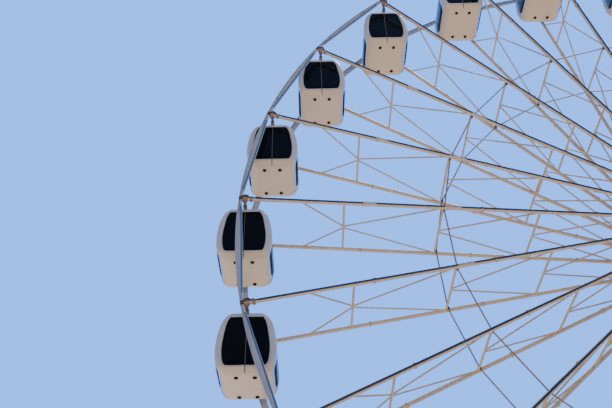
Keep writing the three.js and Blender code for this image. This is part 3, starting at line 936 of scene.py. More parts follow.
def ribbon(solid, path, out, width, height):
    """A closed strip of rubber that follows a loop: width across the glass, height off it."""
    path = [Vector(p) for p in path]
    section = [(-0.5, 0), (-0.5, 0.7), (-0.25, 1), (0.25, 1), (0.5, 0.7), (0.5, 0)]
    out = Vector(out)
    rings = []
    for i, at in enumerate(path):
        along = (path[(i + 1) % len(path)] - path[i - 1]).normalized()
        wide = along.cross(out).normalized()
        rings.append([at + wide * (w * width) + out * (h * height) for w, h in section])
    solid.rings(rings, closed=True)


doors = Solid()
sides = Solid()
seals = Solid()
rails = Solid()
for side in (-1, 1):
    blown_window(sides, side)
    ring = ring_at(window_reach - 0.008, lambda z: face_depth(z) - 0.03) * np.array([1, side, 1])
    ribbon(seals, ring[::2], (0, side, 0), 0.034, 0.022)
    edge = [(side * (half_width(panel_reach, z) + 0.004), y, z) for y, z in side_outline(SIDE_LAP - 0.006)]
    ribbon(seals, edge, (side, 0, 0), 0.014, 0.006)
    for hand in (-1, 1):
        door_leaf(doors, side, hand)
        rails.rings([
            [(hand * x, side * (float(face_depth(z)) - 0.030 + lift), z) for x, lift in
             ((0.001, 0), (0.007, 0), (0.007, 0.014), (0.001, 0.014))]
            for z in (-0.33, -1.15, -2.04)
        ])
    # The gap between the door leaves goes on below the glass, round the belly's front edge.
    gap_line = [(z, float(face_depth(z))) for z in (-2.05, -2.09)]
    for turn in np.radians(np.arange(0, 70, 10)):
        gap_line.append((FACE_HEIGHTS[0] + EDGE_IN[1] * (1 - math.sin(turn)),
                         FACE_DEPTHS[0] - EDGE_BACK[1] * (1 - math.cos(turn))))
    seals.rings([
        [(x, side * (y + lift), z - drop) for x, lift, drop in
         ((-0.013, 0.002, 0.002), (0.013, 0.002, 0.002), (0.013, -0.02, -0.01), (-0.013, -0.02, -0.01))]
        for z, y in gap_line
    ])
FOOT = {"low": -2.342, "high": -2.290, "radius": 0.068, "sides": 24, "chamfer": 0.008}
FOOT_PLACES = corners(0.296, 0.68)
for x, y in FOOT_PLACES:
    seals.column(x, y, **FOOT)
doors = thickened(doors, "door_glass", GLASS)
sides = thickened(sides, "side_glass", GLASS)
seals = seals.made("seals")
rails = rails.made("rails")

# The hanger: a welded yoke beam over the roof, with an eye plate and a stub shaft at each end.
YOKE = {"half_x": 0.07, "half_y": 1.15, "low": -0.19, "high": -0.06, "chamfer": 0.015}
EYE_PLATE = {"half_x": 0.019, "half_y": 0.015, "low": -0.26, "high": 0.0, "chamfer": 0.008}
EYE = {"radius": 0.062, "sides": 20, "chamfer": 0.004}
EYE_BOLT = {"radius": 0.016, "length": 0.014}
EYE_BOLT_HEIGHTS = (-0.11, -0.20)
SHAFT = {"radius": 0.036, "sides": 18, "chamfer": 0.004}
SHAFT_END = 1.39
SHAFT_NUT = {"radius": 0.054, "length": 0.03}
hanger = Solid()
shafts = Solid()
hanger.upright(0, 0, **YOKE)
for side in (-1, 1):
    inner, outer = side * YOKE["half_y"], side * (YOKE["half_y"] + 2 * EYE_PLATE["half_y"])
    hanger.upright(0, (inner + outer) / 2, **EYE_PLATE)
    hanger.prism((0, inner, 0), (0, outer, 0), **EYE)
    shafts.prism((0, inner, 0), (0, side * SHAFT_END, 0), **SHAFT)
    shafts.bolt((0, outer, 0), (0, side, 0), **SHAFT_NUT)
    for z in EYE_BOLT_HEIGHTS:
        shafts.bolt((0, outer, z), (0, side, 0), **EYE_BOLT)
hanger = hanger.made("hanger")
shafts = shafts.made("shafts")


def cabin_lacquer():
    """Gloss lacquer over fibreglass, dulled by rain marks on the sides, with a painted warm light from the
    ground on the belly.
    """
    finish = Finish("cabin_lacquer", "cabin_place")
    cloud = finish.noise(2.2, 6)
    streaks = finish.noise(1.0, 5, stretch=(14, 14, 1.5))
    marks = finish.between(finish.combined("MULTIPLY", cloud, streaks), 0.16, 0.45, 0.0, 0.35)
    clean = finish.mixed(marks, (0.435, 0.44, 0.46, 1), (0.34, 0.32, 0.30, 1))
    # Painted light: towards its foot the belly goes over to a warm tan, which stands in for light bounced
    # up from the warm floor.
    painted_ground_bounce = finish.between(finish.height(), -1.88, -2.22, 0.0, 0.9)
    finish.set("Base Color", finish.mixed(painted_ground_bounce, clean, (0.51, 0.39, 0.25, 1)))
    finish.set("Roughness", finish.between(cloud, 0.3, 0.7, 0.24, 0.44))
    finish.set("Coat Weight", 0.2)
    finish.set("Coat Roughness", 0.15)
    finish.bump(finish.noise(9, 1), 0.10, 0.006)
    return finish.material


def tinted_glass(name, colour, low_colour, alpha, smear, shine):
    """Tinted glass with a film of dust, darker towards its foot. On the side glass the colour is mostly a
    painted sky reflection, which goes over to near black at the foot.
    """
    finish = Finish(name, "cabin_place")
    dust = finish.noise(5, 8)
    finish.set("Roughness", finish.between(dust, 0.35, 0.75, 0.04, smear))
    dusty = tuple(value * 1.6 + 0.003 for value in colour[:3]) + (1,)
    tint = finish.mixed(dust, colour, dusty)
    finish.set("Base Color", finish.mixed(finish.between(finish.height(), -1.86, -2.0), tint, low_colour))
    finish.set("Alpha", alpha)
    finish.set("Specular IOR Level", shine)
    return finish.material


def trim_lining():
    """The grey moulded lining on the inside of the shell."""
    finish = Finish("trim_lining", "cabin_place")
    grain = finish.noise(180, 3)
    tint = finish.mixed(finish.noise(3, 5), (0.09, 0.09, 0.095, 1), (0.12, 0.12, 0.12, 1))
    finish.set("Base Color", tint)
    finish.set("Roughness", finish.between(grain, 0.3, 0.7, 0.5, 0.7))
    finish.bump(grain, 0.2, 0.001)
    return finish.material


def black_rubber():
    finish = Finish("black_rubber", "cabin_place")
    dust = finish.noise(12, 6)
    finish.set("Base Color", finish.mixed(dust, (0.003, 0.003, 0.003, 1), (0.016, 0.015, 0.013, 1)))
    finish.set("Roughness", 0.8)
    finish.set("Specular IOR Level", 0.15)
    finish.bump(finish.noise(60, 3), 0.2, 0.002)
    return finish.material


lacquer = cabin_lacquer()
door_tint = tinted_glass("door_tint", (0.002, 0.003, 0.004, 1), (0.001, 0.002, 0.003, 1),
                         alpha=0.91, smear=0.16, shine=0.12)
# The side glass's blue is a painted reflection of the sky, fading to near black at the glass's foot.
side_tint_and_painted_sky = tinted_glass("side_tint_and_painted_sky", (0.042, 0.092, 0.150, 1), (0.010, 0.010, 0.011, 1),
                         alpha=0.95, smear=0.30, shine=0.012)
rubber = black_rubber()
hanger_steel = painted_steel("hanger_steel", (0.24, 0.17, 0.11, 1), 0.42,
                             dust=(0.13, 0.07, 0.04, 1), dust_share=0.8, rust_share=0.7)
rail_metal = painted_steel("rail_metal", (0.20, 0.18, 0.16, 1), 0.5,
                           dust=(0.14, 0.11, 0.08, 1), dust_share=0.6)

PROTOTYPES = [
    ("shell", shell, (lacquer, trim_lining()), "cabin_shell"),
    ("door_glass", doors, (door_tint,), "cabin_shell"),
    ("side_glass", sides, (side_tint_and_painted_sky,), "cabin_shell"),
    ("seals", seals, (rubber,), "cabin_shell"),
    ("hanger", hanger, (hanger_steel,), "wheel_steel"),
    ("shafts", shafts, (dark_steel,), "wheel_steel"),
    ("door_rails", rails, (rail_metal,), "wheel_steel"),
]
for _, source, materials, _ in PROTOTYPES:
    mesh = source.data
    for material in materials:
        mesh.materials.append(material)
    place = mesh.attributes.new("cabin_place", "FLOAT_VECTOR", "POINT")
    positions = np.zeros(len(mesh.vertices) * 3, np.float32)
    mesh.vertices.foreach_get("co", positions)
    place.data.foreach_set("vector", positions)

for i in range(SPOKES):
    number = f"{i + 1:02d}"
    pivot = Vector(joints[f"cabin_{number}_swing"]["pos_m"])
    for label, source, _, slot_name in PROTOTYPES:
        mesh = source.data.copy()
        mesh.transform(Matrix.Translation(pivot))
        piece = riding(placed(f"{label}_{number}", mesh), f"cabin_{number}")
        if label == "shell":
            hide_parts(f"cabin_{number}")
for _, source, _, _ in PROTOTYPES:
    bpy.data.objects.remove(source)

# Hub
# A welded drum with a thick machined flange at each end that has one flat for each spoke, stiffened by
# radial ribs, and a bearing cover bolted on outside. It is painted like the spokes.

DRUM_RADIUS = 0.52
DRUM_END_RADIUS = 0.60
BORE_RADIUS = 0.262
FLANGE_HALF = 0.075
FLANGE_CHAMFER = 0.012
FLANGE_BOLTS = {"circle": 0.62, "count": 24, "radius": 0.024, "length": 0.028}
COVER_PROFILE = [(0.36, 0), (0.36, 0.032), (0.40, 0.040), (0.47, 0.040), (0.49, 0.030), (0.49, 0)]
COVER_FACE = 0.04
COVER_BOLTS = {"circle": 0.435, "count": 20, "radius": 0.018, "length": 0.02}
RIB_OUTLINE = [(0.01, 0.50), (0.01, 1.10), (-0.06, 1.10), (-0.46, 0.58), (-0.46, 0.50)]
RIB_THICKNESS = 0.025
flange_inner = RIM_OFFSET - FLANGE_HALF
flange_outer = RIM_OFFSET + FLANGE_HALF
corner_radius = FLANGE_RADIUS / math.cos(STEP / 2)
edge, bevelled = FLANGE_HALF - FLANGE_CHAMFER, corner_radius - FLANGE_CHAMFER
flange = [(bevelled, -FLANGE_HALF), (corner_radius, -edge), (corner_radius, edge), (bevelled, FLANGE_HALF),
          (BORE_RADIUS, FLANGE_HALF), (BORE_RADIUS, -FLANGE_HALF)]
flange_turns = [FIRST_ANGLE + STEP * (i + 0.5) for i in range(SPOKES)]
hub_parts = Solid()
for side in (-1, 1):
    hub_parts.rings([
        [HUB + Vector(wheel_point(radius, turn, side * RIM_OFFSET + y)) for turn in flange_turns]
        for radius, y in flange
    ], closed=True)
    outer = side * flange_outer
    hub_parts.turned([(radius, outer + side * y) for radius, y in COVER_PROFILE], 64, HUB)
    hub_parts.bolts(HUB + Vector((0, outer + side * COVER_FACE, 0)), (0, side, 0), **COVER_BOLTS)
    hub_parts.bolts(HUB + Vector((0, outer, 0)), (0, side, 0), **FLANGE_BOLTS)
half_drum = [(DRUM_RADIUS + 0.02, 0.08), (DRUM_RADIUS, 0.10), (DRUM_RADIUS, flange_inner - 0.13),
             (DRUM_END_RADIUS, flange_inner - 0.05), (DRUM_END_RADIUS, flange_inner),
             (BORE_RADIUS, flange_inner)]
hub_parts.turned([(radius, -y) for radius, y in half_drum[::-1]] + half_drum, 64, HUB)
hub_body = riding(hub_parts.made("hub_body", wheel_paint, 30))
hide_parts("hub")

ribs = Solid()
for side in (-1, 1):
    ribs.plate([(0, side * (flange_inner + y), z) for y, z in RIB_OUTLINE], RIB_THICKNESS)
round_wheel("hub_ribs", ribs, wheel_paint)

# Axle
# A fixed forged axle, turned smooth, with a thrust collar outside each hub flange. Each end is clamped in
# a welded head block, which sits on the heads of two legs.

AXLE_RADIUS = 0.25
AXLE_CHAMFER = 0.02
AXLE_END = 2.33
THRUST_COLLAR = [(0.23, 0), (0.33, 0), (0.33, 0.055), (0.318, 0.069), (0.23, 0.069)]
HEAD = {"half": 0.70, "low": -0.45, "high": 0.35, "inner": 1.75, "outer": 2.35}
HEAD_PLATE = 0.04
HEAD_CORNER = 0.14
CORE = {"in_x": 0.03, "in_y": 0.02, "under": 0.03, "corner": 0.13}  # the block between the two head plates
HEAD_RIBS = [(-0.62, 0.10), (-0.36, 0.005), (0.36, 0.005), (0.62, 0.10)]  # place, and depth under the top
HEAD_RIB = {"half": 0.012, "above": 0.10}
CAP_PROFILE = [(0.0, 0), (0.31, 0), (0.31, 0.03), (0.29, 0.045), (0.0, 0.045)]
CAP_FACE = 0.04
CAP_BOLTS = {"circle": 0.265, "count": 16, "radius": 0.018, "length": 0.022}
base_paint = painted_steel("base_paint", (0.60, 0.60, 0.59, 1), 0.4,
                           dust=(0.33, 0.29, 0.25, 1), dust_share=0.5, rust_share=0.25)


def base_piece(solid, name, paint=base_paint, smooth_under=30):
    """A finished piece of the base."""
    return riding(solid.made(name, paint, smooth_under), "base")


axle_parts = Solid()
half_axle = [(AXLE_RADIUS, AXLE_END - AXLE_CHAMFER), (AXLE_RADIUS - AXLE_CHAMFER, AXLE_END),
             (0.0, AXLE_END)]
axle_parts.turned([(radius, -y) for radius, y in half_axle[::-1]] + half_axle, 48, HUB)


def head_part(x0, x1, y0, y1, low, high, chamfer=0.0):
    """A box of a head block, placed from the axle's middle."""
    axle_parts.block(HUB + Vector((x0, y0, low)), HUB + Vector((x1, y1, high)), chamfer)


for side in (-1, 1):
    collar_in = flange_outer + SEAT_GAP
    axle_parts.turned([(radius, side * (collar_in + y)) for radius, y in THRUST_COLLAR], 48, HUB)
    inner, outer = side * HEAD["inner"], side * HEAD["outer"]
    for y0, y1 in ((inner, inner + side * HEAD_PLATE), (outer - side * HEAD_PLATE, outer)):
        head_part(-HEAD["half"], HEAD["half"], y0, y1, HEAD["low"], HEAD["high"], HEAD_CORNER)
    y0, y1 = inner + side * CORE["in_y"], outer - side * CORE["in_y"]
    core_half = HEAD["half"] - CORE["in_x"]
    head_part(-core_half, core_half, y0, y1, HEAD["low"] + SEAT_GAP, HEAD["high"] - CORE["under"],
              CORE["corner"])
    for x, depth in HEAD_RIBS:
        head_part(x - HEAD_RIB["half"], x + HEAD_RIB["half"], y0, y1, HEAD["low"] + HEAD_RIB["above"],
                  HEAD["high"] - depth)
    end = HUB + Vector((0, outer, 0))
    axle_parts.turned([(radius, side * y) for radius, y in CAP_PROFILE], 48, end)
    axle_parts.bolts(end + Vector((0, side * CAP_FACE, 0)), (0, side, 0), **CAP_BOLTS)
axle_body = base_piece(axle_parts, "axle_body")
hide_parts("axle")

# Legs
# Four raking legs of rolled and welded tube, tapering upwards, in three lengths bolted flange to flange.
# A plate under each stands on the base frame, held by anchor bolts, with gussets round the tube.

BASE_HEIGHT = 0.45
LEG_FOOT = Vector((8.0, 3.7, 0.35))
LEG_TOP = Vector((0.32, 2.05, HUB.z))
LEG_RADII = (0.30, 0.23)
LEG_SIDES = 40
LEG_SPLICES = (0.36, 0.70)
LEG_PLACES = {"front_left": (-1, -1), "front_right": (1, -1), "rear_left": (-1, 1), "rear_right": (1, 1)}
SPLICE = {"proud": 0.075, "gap": 0.003, "end": 0.045, "chamfer": 0.006, "bolts_in": 0.036}
SPLICE_BOLTS = {"count": 20, "radius": 0.017, "length": 0.022}
ANCHOR_X = (-0.255, 0.255)
ANCHOR_Y = (-0.38, -0.13, 0.13, 0.38)
ANCHOR_PARTS = [(0.03, 0.026, 6), (0.06, 0.014, 12)]  # the nut and the stud: height, radius, sides
GUSSET = [(0.22, -0.01), (0.43, -0.01), (0.43, 0.04), (0.24, 0.34)]
GUSSET_THICKNESS = 0.02
floor_z = BASE_HEIGHT + SEAT_GAP
plate_z = BASE_HEIGHT + 0.04
ceiling_z = HUB.z + HEAD["low"] - SEAT_GAP
FOOT_PLATE = {"half_x": 0.30, "half_y": 0.45, "low": floor_z, "high": plate_z}
HEAD_SEAT = {"half_x": 0.30, "half_y": 0.27, "low": ceiling_z - 0.04, "high": ceiling_z}


def at_height(start, end, z):
    """The point at a height on the line through two points."""
    return start.lerp(end, (z - start.z) / (end.z - start.z))


for place, (side_x, side_y) in LEG_PLACES.items():
    foot = Vector((side_x * LEG_FOOT.x, side_y * LEG_FOOT.y, LEG_FOOT.z))
    top = Vector((side_x * LEG_TOP.x, side_y * LEG_TOP.y, LEG_TOP.z))
    along = (top - foot).normalized()
    side = along.orthogonal().normalized()
    other = along.cross(side)
    low_ring, high_ring = [], []
    for i in range(LEG_SIDES):
        turn = 2 * math.pi * i / LEG_SIDES
        out = side * math.cos(turn) + other * math.sin(turn)
        start, end = foot + out * LEG_RADII[0], top + out * LEG_RADII[1]
        low_ring.append(at_height(start, end, floor_z))
        high_ring.append(at_height(start, end, ceiling_z))
    leg = Solid()
    leg.rings([low_ring, high_ring])
    for share in LEG_SPLICES:
        middle = foot.lerp(top, share)
        radius = LEG_RADII[0] + (LEG_RADII[1] - LEG_RADII[0]) * share + SPLICE["proud"]
        for low, high in ((-SPLICE["end"], -SPLICE["gap"]), (SPLICE["gap"], SPLICE["end"])):
            leg.prism(middle + along * low, middle + along * high, radius, LEG_SIDES, SPLICE["chamfer"])
        for way in (-1, 1):
            face = middle + along * (way * SPLICE["end"])
            leg.bolts(face, along * way, radius - SPLICE["bolts_in"], **SPLICE_BOLTS)
    leg.upright(foot.x, foot.y, **FOOT_PLATE)
    for y in ANCHOR_Y:
        for x in ANCHOR_X:
            for height, radius, sides in ANCHOR_PARTS:
                leg.column(foot.x + x, foot.y + y, plate_z, plate_z + height, radius, sides)
    base_at = at_height(foot, top, plate_z)
    for way in (-1, 1):
        leg.plate([(base_at.x, foot.y + way * y, plate_z + z) for y, z in GUSSET], GUSSET_THICKNESS)
    head_at = at_height(foot, top, ceiling_z)
    leg.upright(head_at.x, head_at.y, **HEAD_SEAT)
    leg_body = base_piece(leg, f"leg_{place}_tube")
    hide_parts(f"leg_{place}")

# Base frame
# Welded box beams with projecting top and bottom plates and a stiffener every metre or so: a sill under
# each pair of legs, two long beams between the sills, and two cross beams, bolted together.

SILL_HALF = 0.30
SILL_REACH = 5.0
LONG_BEAM_HALF = 0.20
CROSS_BEAM_HALF = 0.15
CROSS_BEAM_X = 2.8
BEAM_PLATE = 0.022
WEB_INSET = 0.045
WEB_END_INSET = 0.02
WEB_LAP = 0.002  # how far the webs run into the plates
BEAM_END = 0.025
BEAM_END_GAP = 0.0005
STIFFENER = 0.012
STIFFENER_INSET = 0.006
STIFFENER_LAP = 0.001
STIFFENER_SPACING = 1.0
SPLICE_PLATE = {"in": 0.02, "out": 0.2, "half_y": 0.18, "thickness": 0.012}
JOINT_BOLT = {"low": 0.0, "high": 0.022, "radius": 0.02, "sides": 6}
JOINT_WASHER = {"low": -0.001, "high": 0.004, "radius": 0.032, "sides": 16}
JOINT_BOLT_X = (-0.05, 0.05)
JOINT_BOLT_Y = (-0.13, -0.045, 0.045, 0.13)
JOINT_BOLT_MIDDLE = 0.09  # from the sill's edge

# Copies of one shape at the points of a mesh.
copying = Growth("copies_at_points", {"Shape": "Object"})
copied_shape = copying.add("GeometryNodeObjectInfo", "Geometry", {"Object": copying.given["Shape"]})
copying.repeat(copied_shape, copying.given["Geometry"])


def copied(name, solid, places, paint=base_paint):
    """One shape, made at the origin, repeated at a list of places on the base."""
    shape = solid.made("shape")
    made = grown(plain_mesh("places", places, []), copying, name, {"Shape": shape, "Paint": paint}, 30)
    bpy.data.objects.remove(shape)
    return riding(made, "base")


def spaced(start, end, spacing):
    """Evenly spaced places strictly between two points."""
    start, end = Vector(start), Vector(end)
    bays = max(1, round((end - start).length / spacing))
    return [start.lerp(end, i / bays) for i in range(1, bays)]


beams = Solid()


def beam(start, end, half):
    """One box beam between two points on the ground, along X or along Y."""
    start, end = Vector(start), Vector(end)
    along = (end - start).normalized()
    wide = Vector((-along.y, along.x, 0))

    def length(first, last, reach, low, high):
        section = ((-reach, low), (reach, low), (reach, high), (-reach, high))
        beams.rings([[p + wide * w + Vector((0, 0, z)) for w, z in section] for p in (first, last)])

    low, high = BEAM_PLATE, BASE_HEIGHT - BEAM_PLATE
    inset = along * WEB_END_INSET
    length(start, end, half, 0.0, low)
    length(start, end, half, high, BASE_HEIGHT)
    length(start + inset, end - inset, half - WEB_INSET, low - WEB_LAP, high + WEB_LAP)
    for at in (start, end - along * BEAM_END):
        length(at + along * BEAM_END_GAP, at + along * (BEAM_END - BEAM_END_GAP), half, low, high)


def stiffener(half, along_x):
    """A plate across a beam that lies along X or along Y."""
    halves = (STIFFENER / 2, half - STIFFENER_INSET)
    plate = Solid()
    plate.upright(0, 0, *(halves if along_x else halves[::-1]), BEAM_PLATE - STIFFENER_LAP,
                  BASE_HEIGHT - BEAM_PLATE + STIFFENER_LAP)
    return plate


sill_ribs, long_ribs, cross_ribs = [], [], []
long_end = LEG_FOOT.x - SILL_HALF - SEAT_GAP
cross_end = LEG_FOOT.y - LONG_BEAM_HALF - SEAT_GAP
for side in (-1, 1):
    x, y = side * LEG_FOOT.x, side * LEG_FOOT.y
    cross_x = side * CROSS_BEAM_X
    for start, end, half, places in (
        ((x, -SILL_REACH, 0), (x, SILL_REACH, 0), SILL_HALF, sill_ribs),
        ((-long_end, y, 0), (long_end, y, 0), LONG_BEAM_HALF, long_ribs),
        ((cross_x, -cross_end, 0), (cross_x, cross_end, 0), CROSS_BEAM_HALF, cross_ribs),
    ):
        beam(start, end, half)
        places.extend(spaced(start, end, STIFFENER_SPACING))
frame_beams = base_piece(beams, "frame_beams")
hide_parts("base_frame")
copied("sill_stiffeners", stiffener(SILL_HALF, False), sill_ribs)
copied("long_stiffeners", stiffener(LONG_BEAM_HALF, True), long_ribs)
copied("cross_stiffeners", stiffener(CROSS_BEAM_HALF, False), cross_ribs)

splices = Solid()
joint_places = []
splice_top = BASE_HEIGHT + SPLICE_PLATE["thickness"]
for side_x, side_y in corners(1, 1):
    x, y = side_x * LEG_FOOT.x, side_y * LEG_FOOT.y
    for across_beam in JOINT_BOLT_Y:
        for step in JOINT_BOLT_X:
            bolt_x = x - side_x * (SILL_HALF + JOINT_BOLT_MIDDLE) + step
            joint_places.append((bolt_x, y + across_beam, splice_top))
    splices.block((x - side_x * (SILL_HALF - SPLICE_PLATE["in"]), y - SPLICE_PLATE["half_y"],
                   BASE_HEIGHT - SEAT_GAP),
                  (x - side_x * (SILL_HALF + SPLICE_PLATE["out"]), y + SPLICE_PLATE["half_y"], splice_top))
base_piece(splices, "splice_plates")
joint_bolts = Solid()
joint_bolts.column(0, 0, **JOINT_BOLT)
joint_bolts.column(0, 0, **JOINT_WASHER)
copied("joint_bolts", joint_bolts, joint_places)

# Platform
# A deck of chequered aluminium panels on a frame of channels and joists, on square posts with base plates.
# Round-tube railings with thin balusters stand round it, open at the gate and at the steps.

deck_low, deck_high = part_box("loading_platform")
DECK_TOP = 1.0
DECK_DEPTH = 0.15
PANEL_GAP = 0.006
PANEL_THICKNESS = 0.012
PANEL_COUNT = (8, 3)
FASCIA = 0.014
JOIST_SPACING = 0.75
JOIST_HALF = 0.03
CHANNEL_HALF = 0.04
POST_HALF = 0.075
POST_X = (-5.6, -1.9, 1.9, 5.6)
POST_ROWS_IN = (0.225, 0.425)  # from the deck's far and near edge to the first and the last row
POST_PLATE = {"half_x": 0.12, "half_y": 0.12}
POST_PLATE_THICKNESS = 0.014
POST_BOLT = {"radius": 0.011, "length": 0.012}
POST_BOLT_PLACES = corners(0.098, 0.098)
GATE_HALF = 2.6
STAIR_FAR = -2.95
RAIL_INSET = 0.06
RAIL_RADIUS = 0.024
LOW_RAIL_RADIUS = 0.016
MID_RAIL_DROP = 0.12
FOOT_RAIL_HEIGHT = 0.10
RAIL_FOOT = {"radius": 0.052, "thickness": 0.012}
RAIL_CAP = {"length": 0.03, "proud": 0.003, "chamfer": 0.008}
RAIL_SIDES = 14
BALUSTER_RADIUS = 0.008
BALUSTER_SPACING = 0.115
POST_SPACING = 1.3


def chequered(name, colour, dirt):
    """Rolled aluminium with raised lozenges, worn bright on top and dirty in between."""
    finish = Finish(name)
    waves = []
    for turn in (0.8, -0.8):
        turned = {"Vector": finish.place, "Rotation": (0, 0, turn), "Scale": (6, 24, 1)}
        grid = finish.add("ShaderNodeMapping", "Vector", turned)
        even = {"Vector": grid, "Randomness": 0.0, "Scale": 1.0}
        waves.append(finish.between(finish.add("ShaderNodeTexVoronoi", "Distance", even), 0.32, 0.22))
    raised = finish.combined("MAXIMUM", *waves)
    grime = finish.between(finish.noise(1.6, 7), 0.35, 0.7)
    flat = finish.mixed(grime, colour, dirt)
    worn = tuple(min(1.0, value * 1.5) for value in colour[:3]) + (1,)
    finish.set("Base Color", finish.mixed(finish.combined("MULTIPLY", raised, 0.7), flat, worn))
    finish.set("Roughness", finish.between(grime, 0, 1, 0.34, 0.6))
    finish.set("Metallic", 0.6)
    finish.bump(raised, 0.5, 0.003)
    return finish.material


deck_plate = chequered("deck_plate", (0.42, 0.43, 0.44, 1), (0.20, 0.18, 0.16, 1))
rail_paint = painted_steel("rail_paint", (0.55, 0.56, 0.56, 1), 0.35,
                           dust=(0.33, 0.30, 0.27, 1), dust_share=0.4)

panels = Solid()
size_x = (deck_high.x - deck_low.x - 2 * FASCIA) / PANEL_COUNT[0]
size_y = (deck_high.y - deck_low.y - 2 * FASCIA) / PANEL_COUNT[1]
for i in range(PANEL_COUNT[0]):
    for j in range(PANEL_COUNT[1]):
        x = deck_low.x + FASCIA + i * size_x
        y = deck_low.y + FASCIA + j * size_y
        panels.block((x + PANEL_GAP / 2, y + PANEL_GAP / 2, DECK_TOP - PANEL_THICKNESS),
                     (x + size_x - PANEL_GAP / 2, y + size_y - PANEL_GAP / 2, DECK_TOP - 0.001))
deck_panels = base_piece(panels, "deck_panels", deck_plate)
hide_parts("loading_platform")

deck_frame = Solid()
under = DECK_TOP - DECK_DEPTH
inner_x = (deck_low.x + FASCIA, deck_high.x - FASCIA)
inner_y = (deck_low.y + FASCIA, deck_high.y - FASCIA)
for y0, y1 in ((deck_low.y, inner_y[0]), (inner_y[1], deck_high.y)):
    deck_frame.block((deck_low.x, y0, under), (deck_high.x, y1, DECK_TOP))
for x0, x1 in ((deck_low.x, inner_x[0]), (inner_x[1], deck_high.x)):
    deck_frame.block((x0, inner_y[0], under), (x1, inner_y[1], DECK_TOP))
post_rows = ((deck_low.y + POST_ROWS_IN[0], 0.0), (-LEG_FOOT.y, floor_z),
             (deck_high.y - POST_ROWS_IN[1], 0.0))
for y, _ in post_rows:
    deck_frame.block((inner_x[0], y - CHANNEL_HALF, under + 0.002),
                     (inner_x[1], y + CHANNEL_HALF, DECK_TOP - 0.06))
for x in POST_X:
    for y, foot in post_rows:
        plate_top = foot + POST_PLATE_THICKNESS
        deck_frame.upright(x, y, POST_HALF, POST_HALF, foot, under + 0.02)
        deck_frame.upright(x, y, low=foot, high=plate_top, **POST_PLATE)
        for bolt_x, bolt_y in POST_BOLT_PLACES:
            deck_frame.bolt((x + bolt_x, y + bolt_y, plate_top), (0, 0, 1), **POST_BOLT)
base_piece(deck_frame, "deck_frame")

joist = Solid()
joist.block((-JOIST_HALF, inner_y[0], under + 0.01),
            (JOIST_HALF, inner_y[1], DECK_TOP - PANEL_THICKNESS - SEAT_GAP))
joist_places = spaced((deck_low.x, 0, 0), (deck_high.x, 0, 0), JOIST_SPACING)
copied("deck_joists", joist, joist_places)

rail_bars = Solid()
baluster_places = []
rail_top = deck_high.z - RAIL_RADIUS


def rail_post(solid, x, y, foot, head, bite=0.0):
    """A rail post on a round foot plate; it may run into what is under the plate."""
    solid.column(x, y, foot - bite, head, RAIL_RADIUS, RAIL_SIDES)
    solid.column(x, y, foot, foot + RAIL_FOOT["thickness"], RAIL_FOOT["radius"], 16)


def rail_cap(solid, x, y, head):
    """The sleeve over the end of a rail and the head of its post."""
    solid.column(x, y, head - RAIL_CAP["length"], head + RAIL_RADIUS - 0.001,
                 RAIL_RADIUS + RAIL_CAP["proud"], RAIL_SIDES, RAIL_CAP["chamfer"])


def railing(corner_places):
    """Posts, a top rail, a mid rail and a foot rail along a line of corners; the balusters come later."""
    for i in range(len(corner_places) - 1):
        start, end = Vector((*corner_places[i], 0)), Vector((*corner_places[i + 1], 0))
        bays = max(1, round((end - start).length / POST_SPACING))
        for n in range(0 if i == 0 else 1, bays + 1):
            at = start.lerp(end, n / bays)
            rail_post(rail_bars, at.x, at.y, DECK_TOP, rail_top)
        for height, radius in ((rail_top, RAIL_RADIUS), (rail_top - MID_RAIL_DROP, LOW_RAIL_RADIUS),
                               (DECK_TOP + FOOT_RAIL_HEIGHT, LOW_RAIL_RADIUS)):
            rail_bars.prism((start.x, start.y, height), (end.x, end.y, height), radius, RAIL_SIDES)
        baluster_places.extend(spaced(start, end, BALUSTER_SPACING))
    for x, y in corner_places:
        rail_cap(rail_bars, x, y, rail_top)


edge_x = deck_high.x - RAIL_INSET
far_y = deck_low.y + RAIL_INSET
near_y = deck_high.y - RAIL_INSET
stair_y = STAIR_FAR - RAIL_INSET
railing([(-edge_x, stair_y), (-edge_x, far_y), (edge_x, far_y), (edge_x, stair_y)])
for side in (-1, 1):
    railing([(side * edge_x, near_y), (side * GATE_HALF, near_y)])
base_piece(rail_bars, "rail_bars", rail_paint, smooth_under=40)
baluster = Solid()
baluster.column(0, 0, DECK_TOP + FOOT_RAIL_HEIGHT, rail_top - MID_RAIL_DROP, BALUSTER_RADIUS, 8)
copied("balusters", baluster, baluster_places, rail_paint)

# Steps
# Two welded flights with closed sides, chequered treads with a bright nosing, and a handrail at each side
# on two posts.

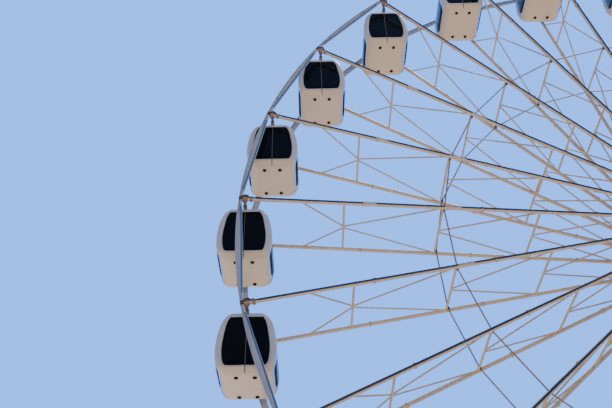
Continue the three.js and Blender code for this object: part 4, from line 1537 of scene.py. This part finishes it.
STAIR_STEPS = 4
TREAD = 0.28
TREAD_THICKNESS = 0.03
TREAD_INSET = 0.012
TOP_TREAD = 0.06
NOSING = {"depth": 0.021, "drop": 0.012, "chamfer": 0.004}
CHEEK_THICKNESS = 0.010
LOW_HANDRAIL_DROP = 0.5
RISE = DECK_TOP / (STAIR_STEPS + 1)
for place, side in (("left", -1), ("right", 1)):
    low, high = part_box(f"steps_{place}")
    start = deck_high.x + SEAT_GAP
    end = start + STAIR_STEPS * TREAD
    tread_ends = (low.y + TREAD_INSET, high.y - TREAD_INSET)
    treads = Solid()
    cheeks = Solid()

    def tread(back, front, bottom, top, chamfer=0.0):
        treads.block((side * back, tread_ends[0], bottom), (side * front, tread_ends[1], top), chamfer)

    profile = [(start, 0.0), (start, DECK_TOP - TREAD_THICKNESS),
               (start + TOP_TREAD - 0.008, DECK_TOP - TREAD_THICKNESS)]
    for step in range(STAIR_STEPS, 0, -1):
        front = start + (STAIR_STEPS - step) * TREAD + TREAD
        back = max(front - TREAD, start + TOP_TREAD)
        top = step * RISE
        bottom = top - TREAD_THICKNESS
        profile += [(back - 0.008, bottom), (front - 0.012, bottom)]
        tread(back, front - NOSING["depth"] - SEAT_GAP, bottom, top)
        tread(front - NOSING["depth"], front, bottom - NOSING["drop"], top, NOSING["chamfer"])
    profile.append((end - 0.012, 0.0))
    tread(start, start + TOP_TREAD, DECK_TOP - TREAD_THICKNESS, DECK_TOP)
    cheeks.rings([[(side * x, y, z) for x, z in profile] for y in (low.y + 0.02, high.y - 0.02)])
    near = start + 0.001
    cheek = [(near, 0.0), (near, DECK_TOP - 0.001), (start + TOP_TREAD + 0.03, DECK_TOP - 0.001),
             (end, RISE - 0.002), (end, 0.0)]
    for y in (low.y, high.y - CHEEK_THICKNESS):
        cheeks.rings([[(side * x, at, z) for x, z in cheek] for at in (y, y + CHEEK_THICKNESS)])
    for y in (low.y + RAIL_INSET, high.y - RAIL_INSET):
        heads = []
        for step in (STAIR_STEPS, 1):
            x = side * (start + (STAIR_STEPS - step + 0.5) * TREAD)
            heads.append(Vector((x, y, step * RISE + high.z - STAIR_STEPS * RISE - RAIL_RADIUS)))
            rail_post(cheeks, x, y, step * RISE, heads[-1].z, bite=0.002)
        for drop, radius in ((0.0, RAIL_RADIUS), (LOW_HANDRAIL_DROP, LOW_RAIL_RADIUS)):
            lower = Vector((0, 0, -drop))
            cheeks.prism(heads[0] + lower, heads[1] + lower, radius, RAIL_SIDES)
        for head in heads:
            rail_cap(cheeks, head.x, head.y, head.z)
    flight = base_piece(treads, f"treads_{place}", deck_plate)
    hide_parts(f"steps_{place}")
    base_piece(cheeks, f"cheeks_{place}")
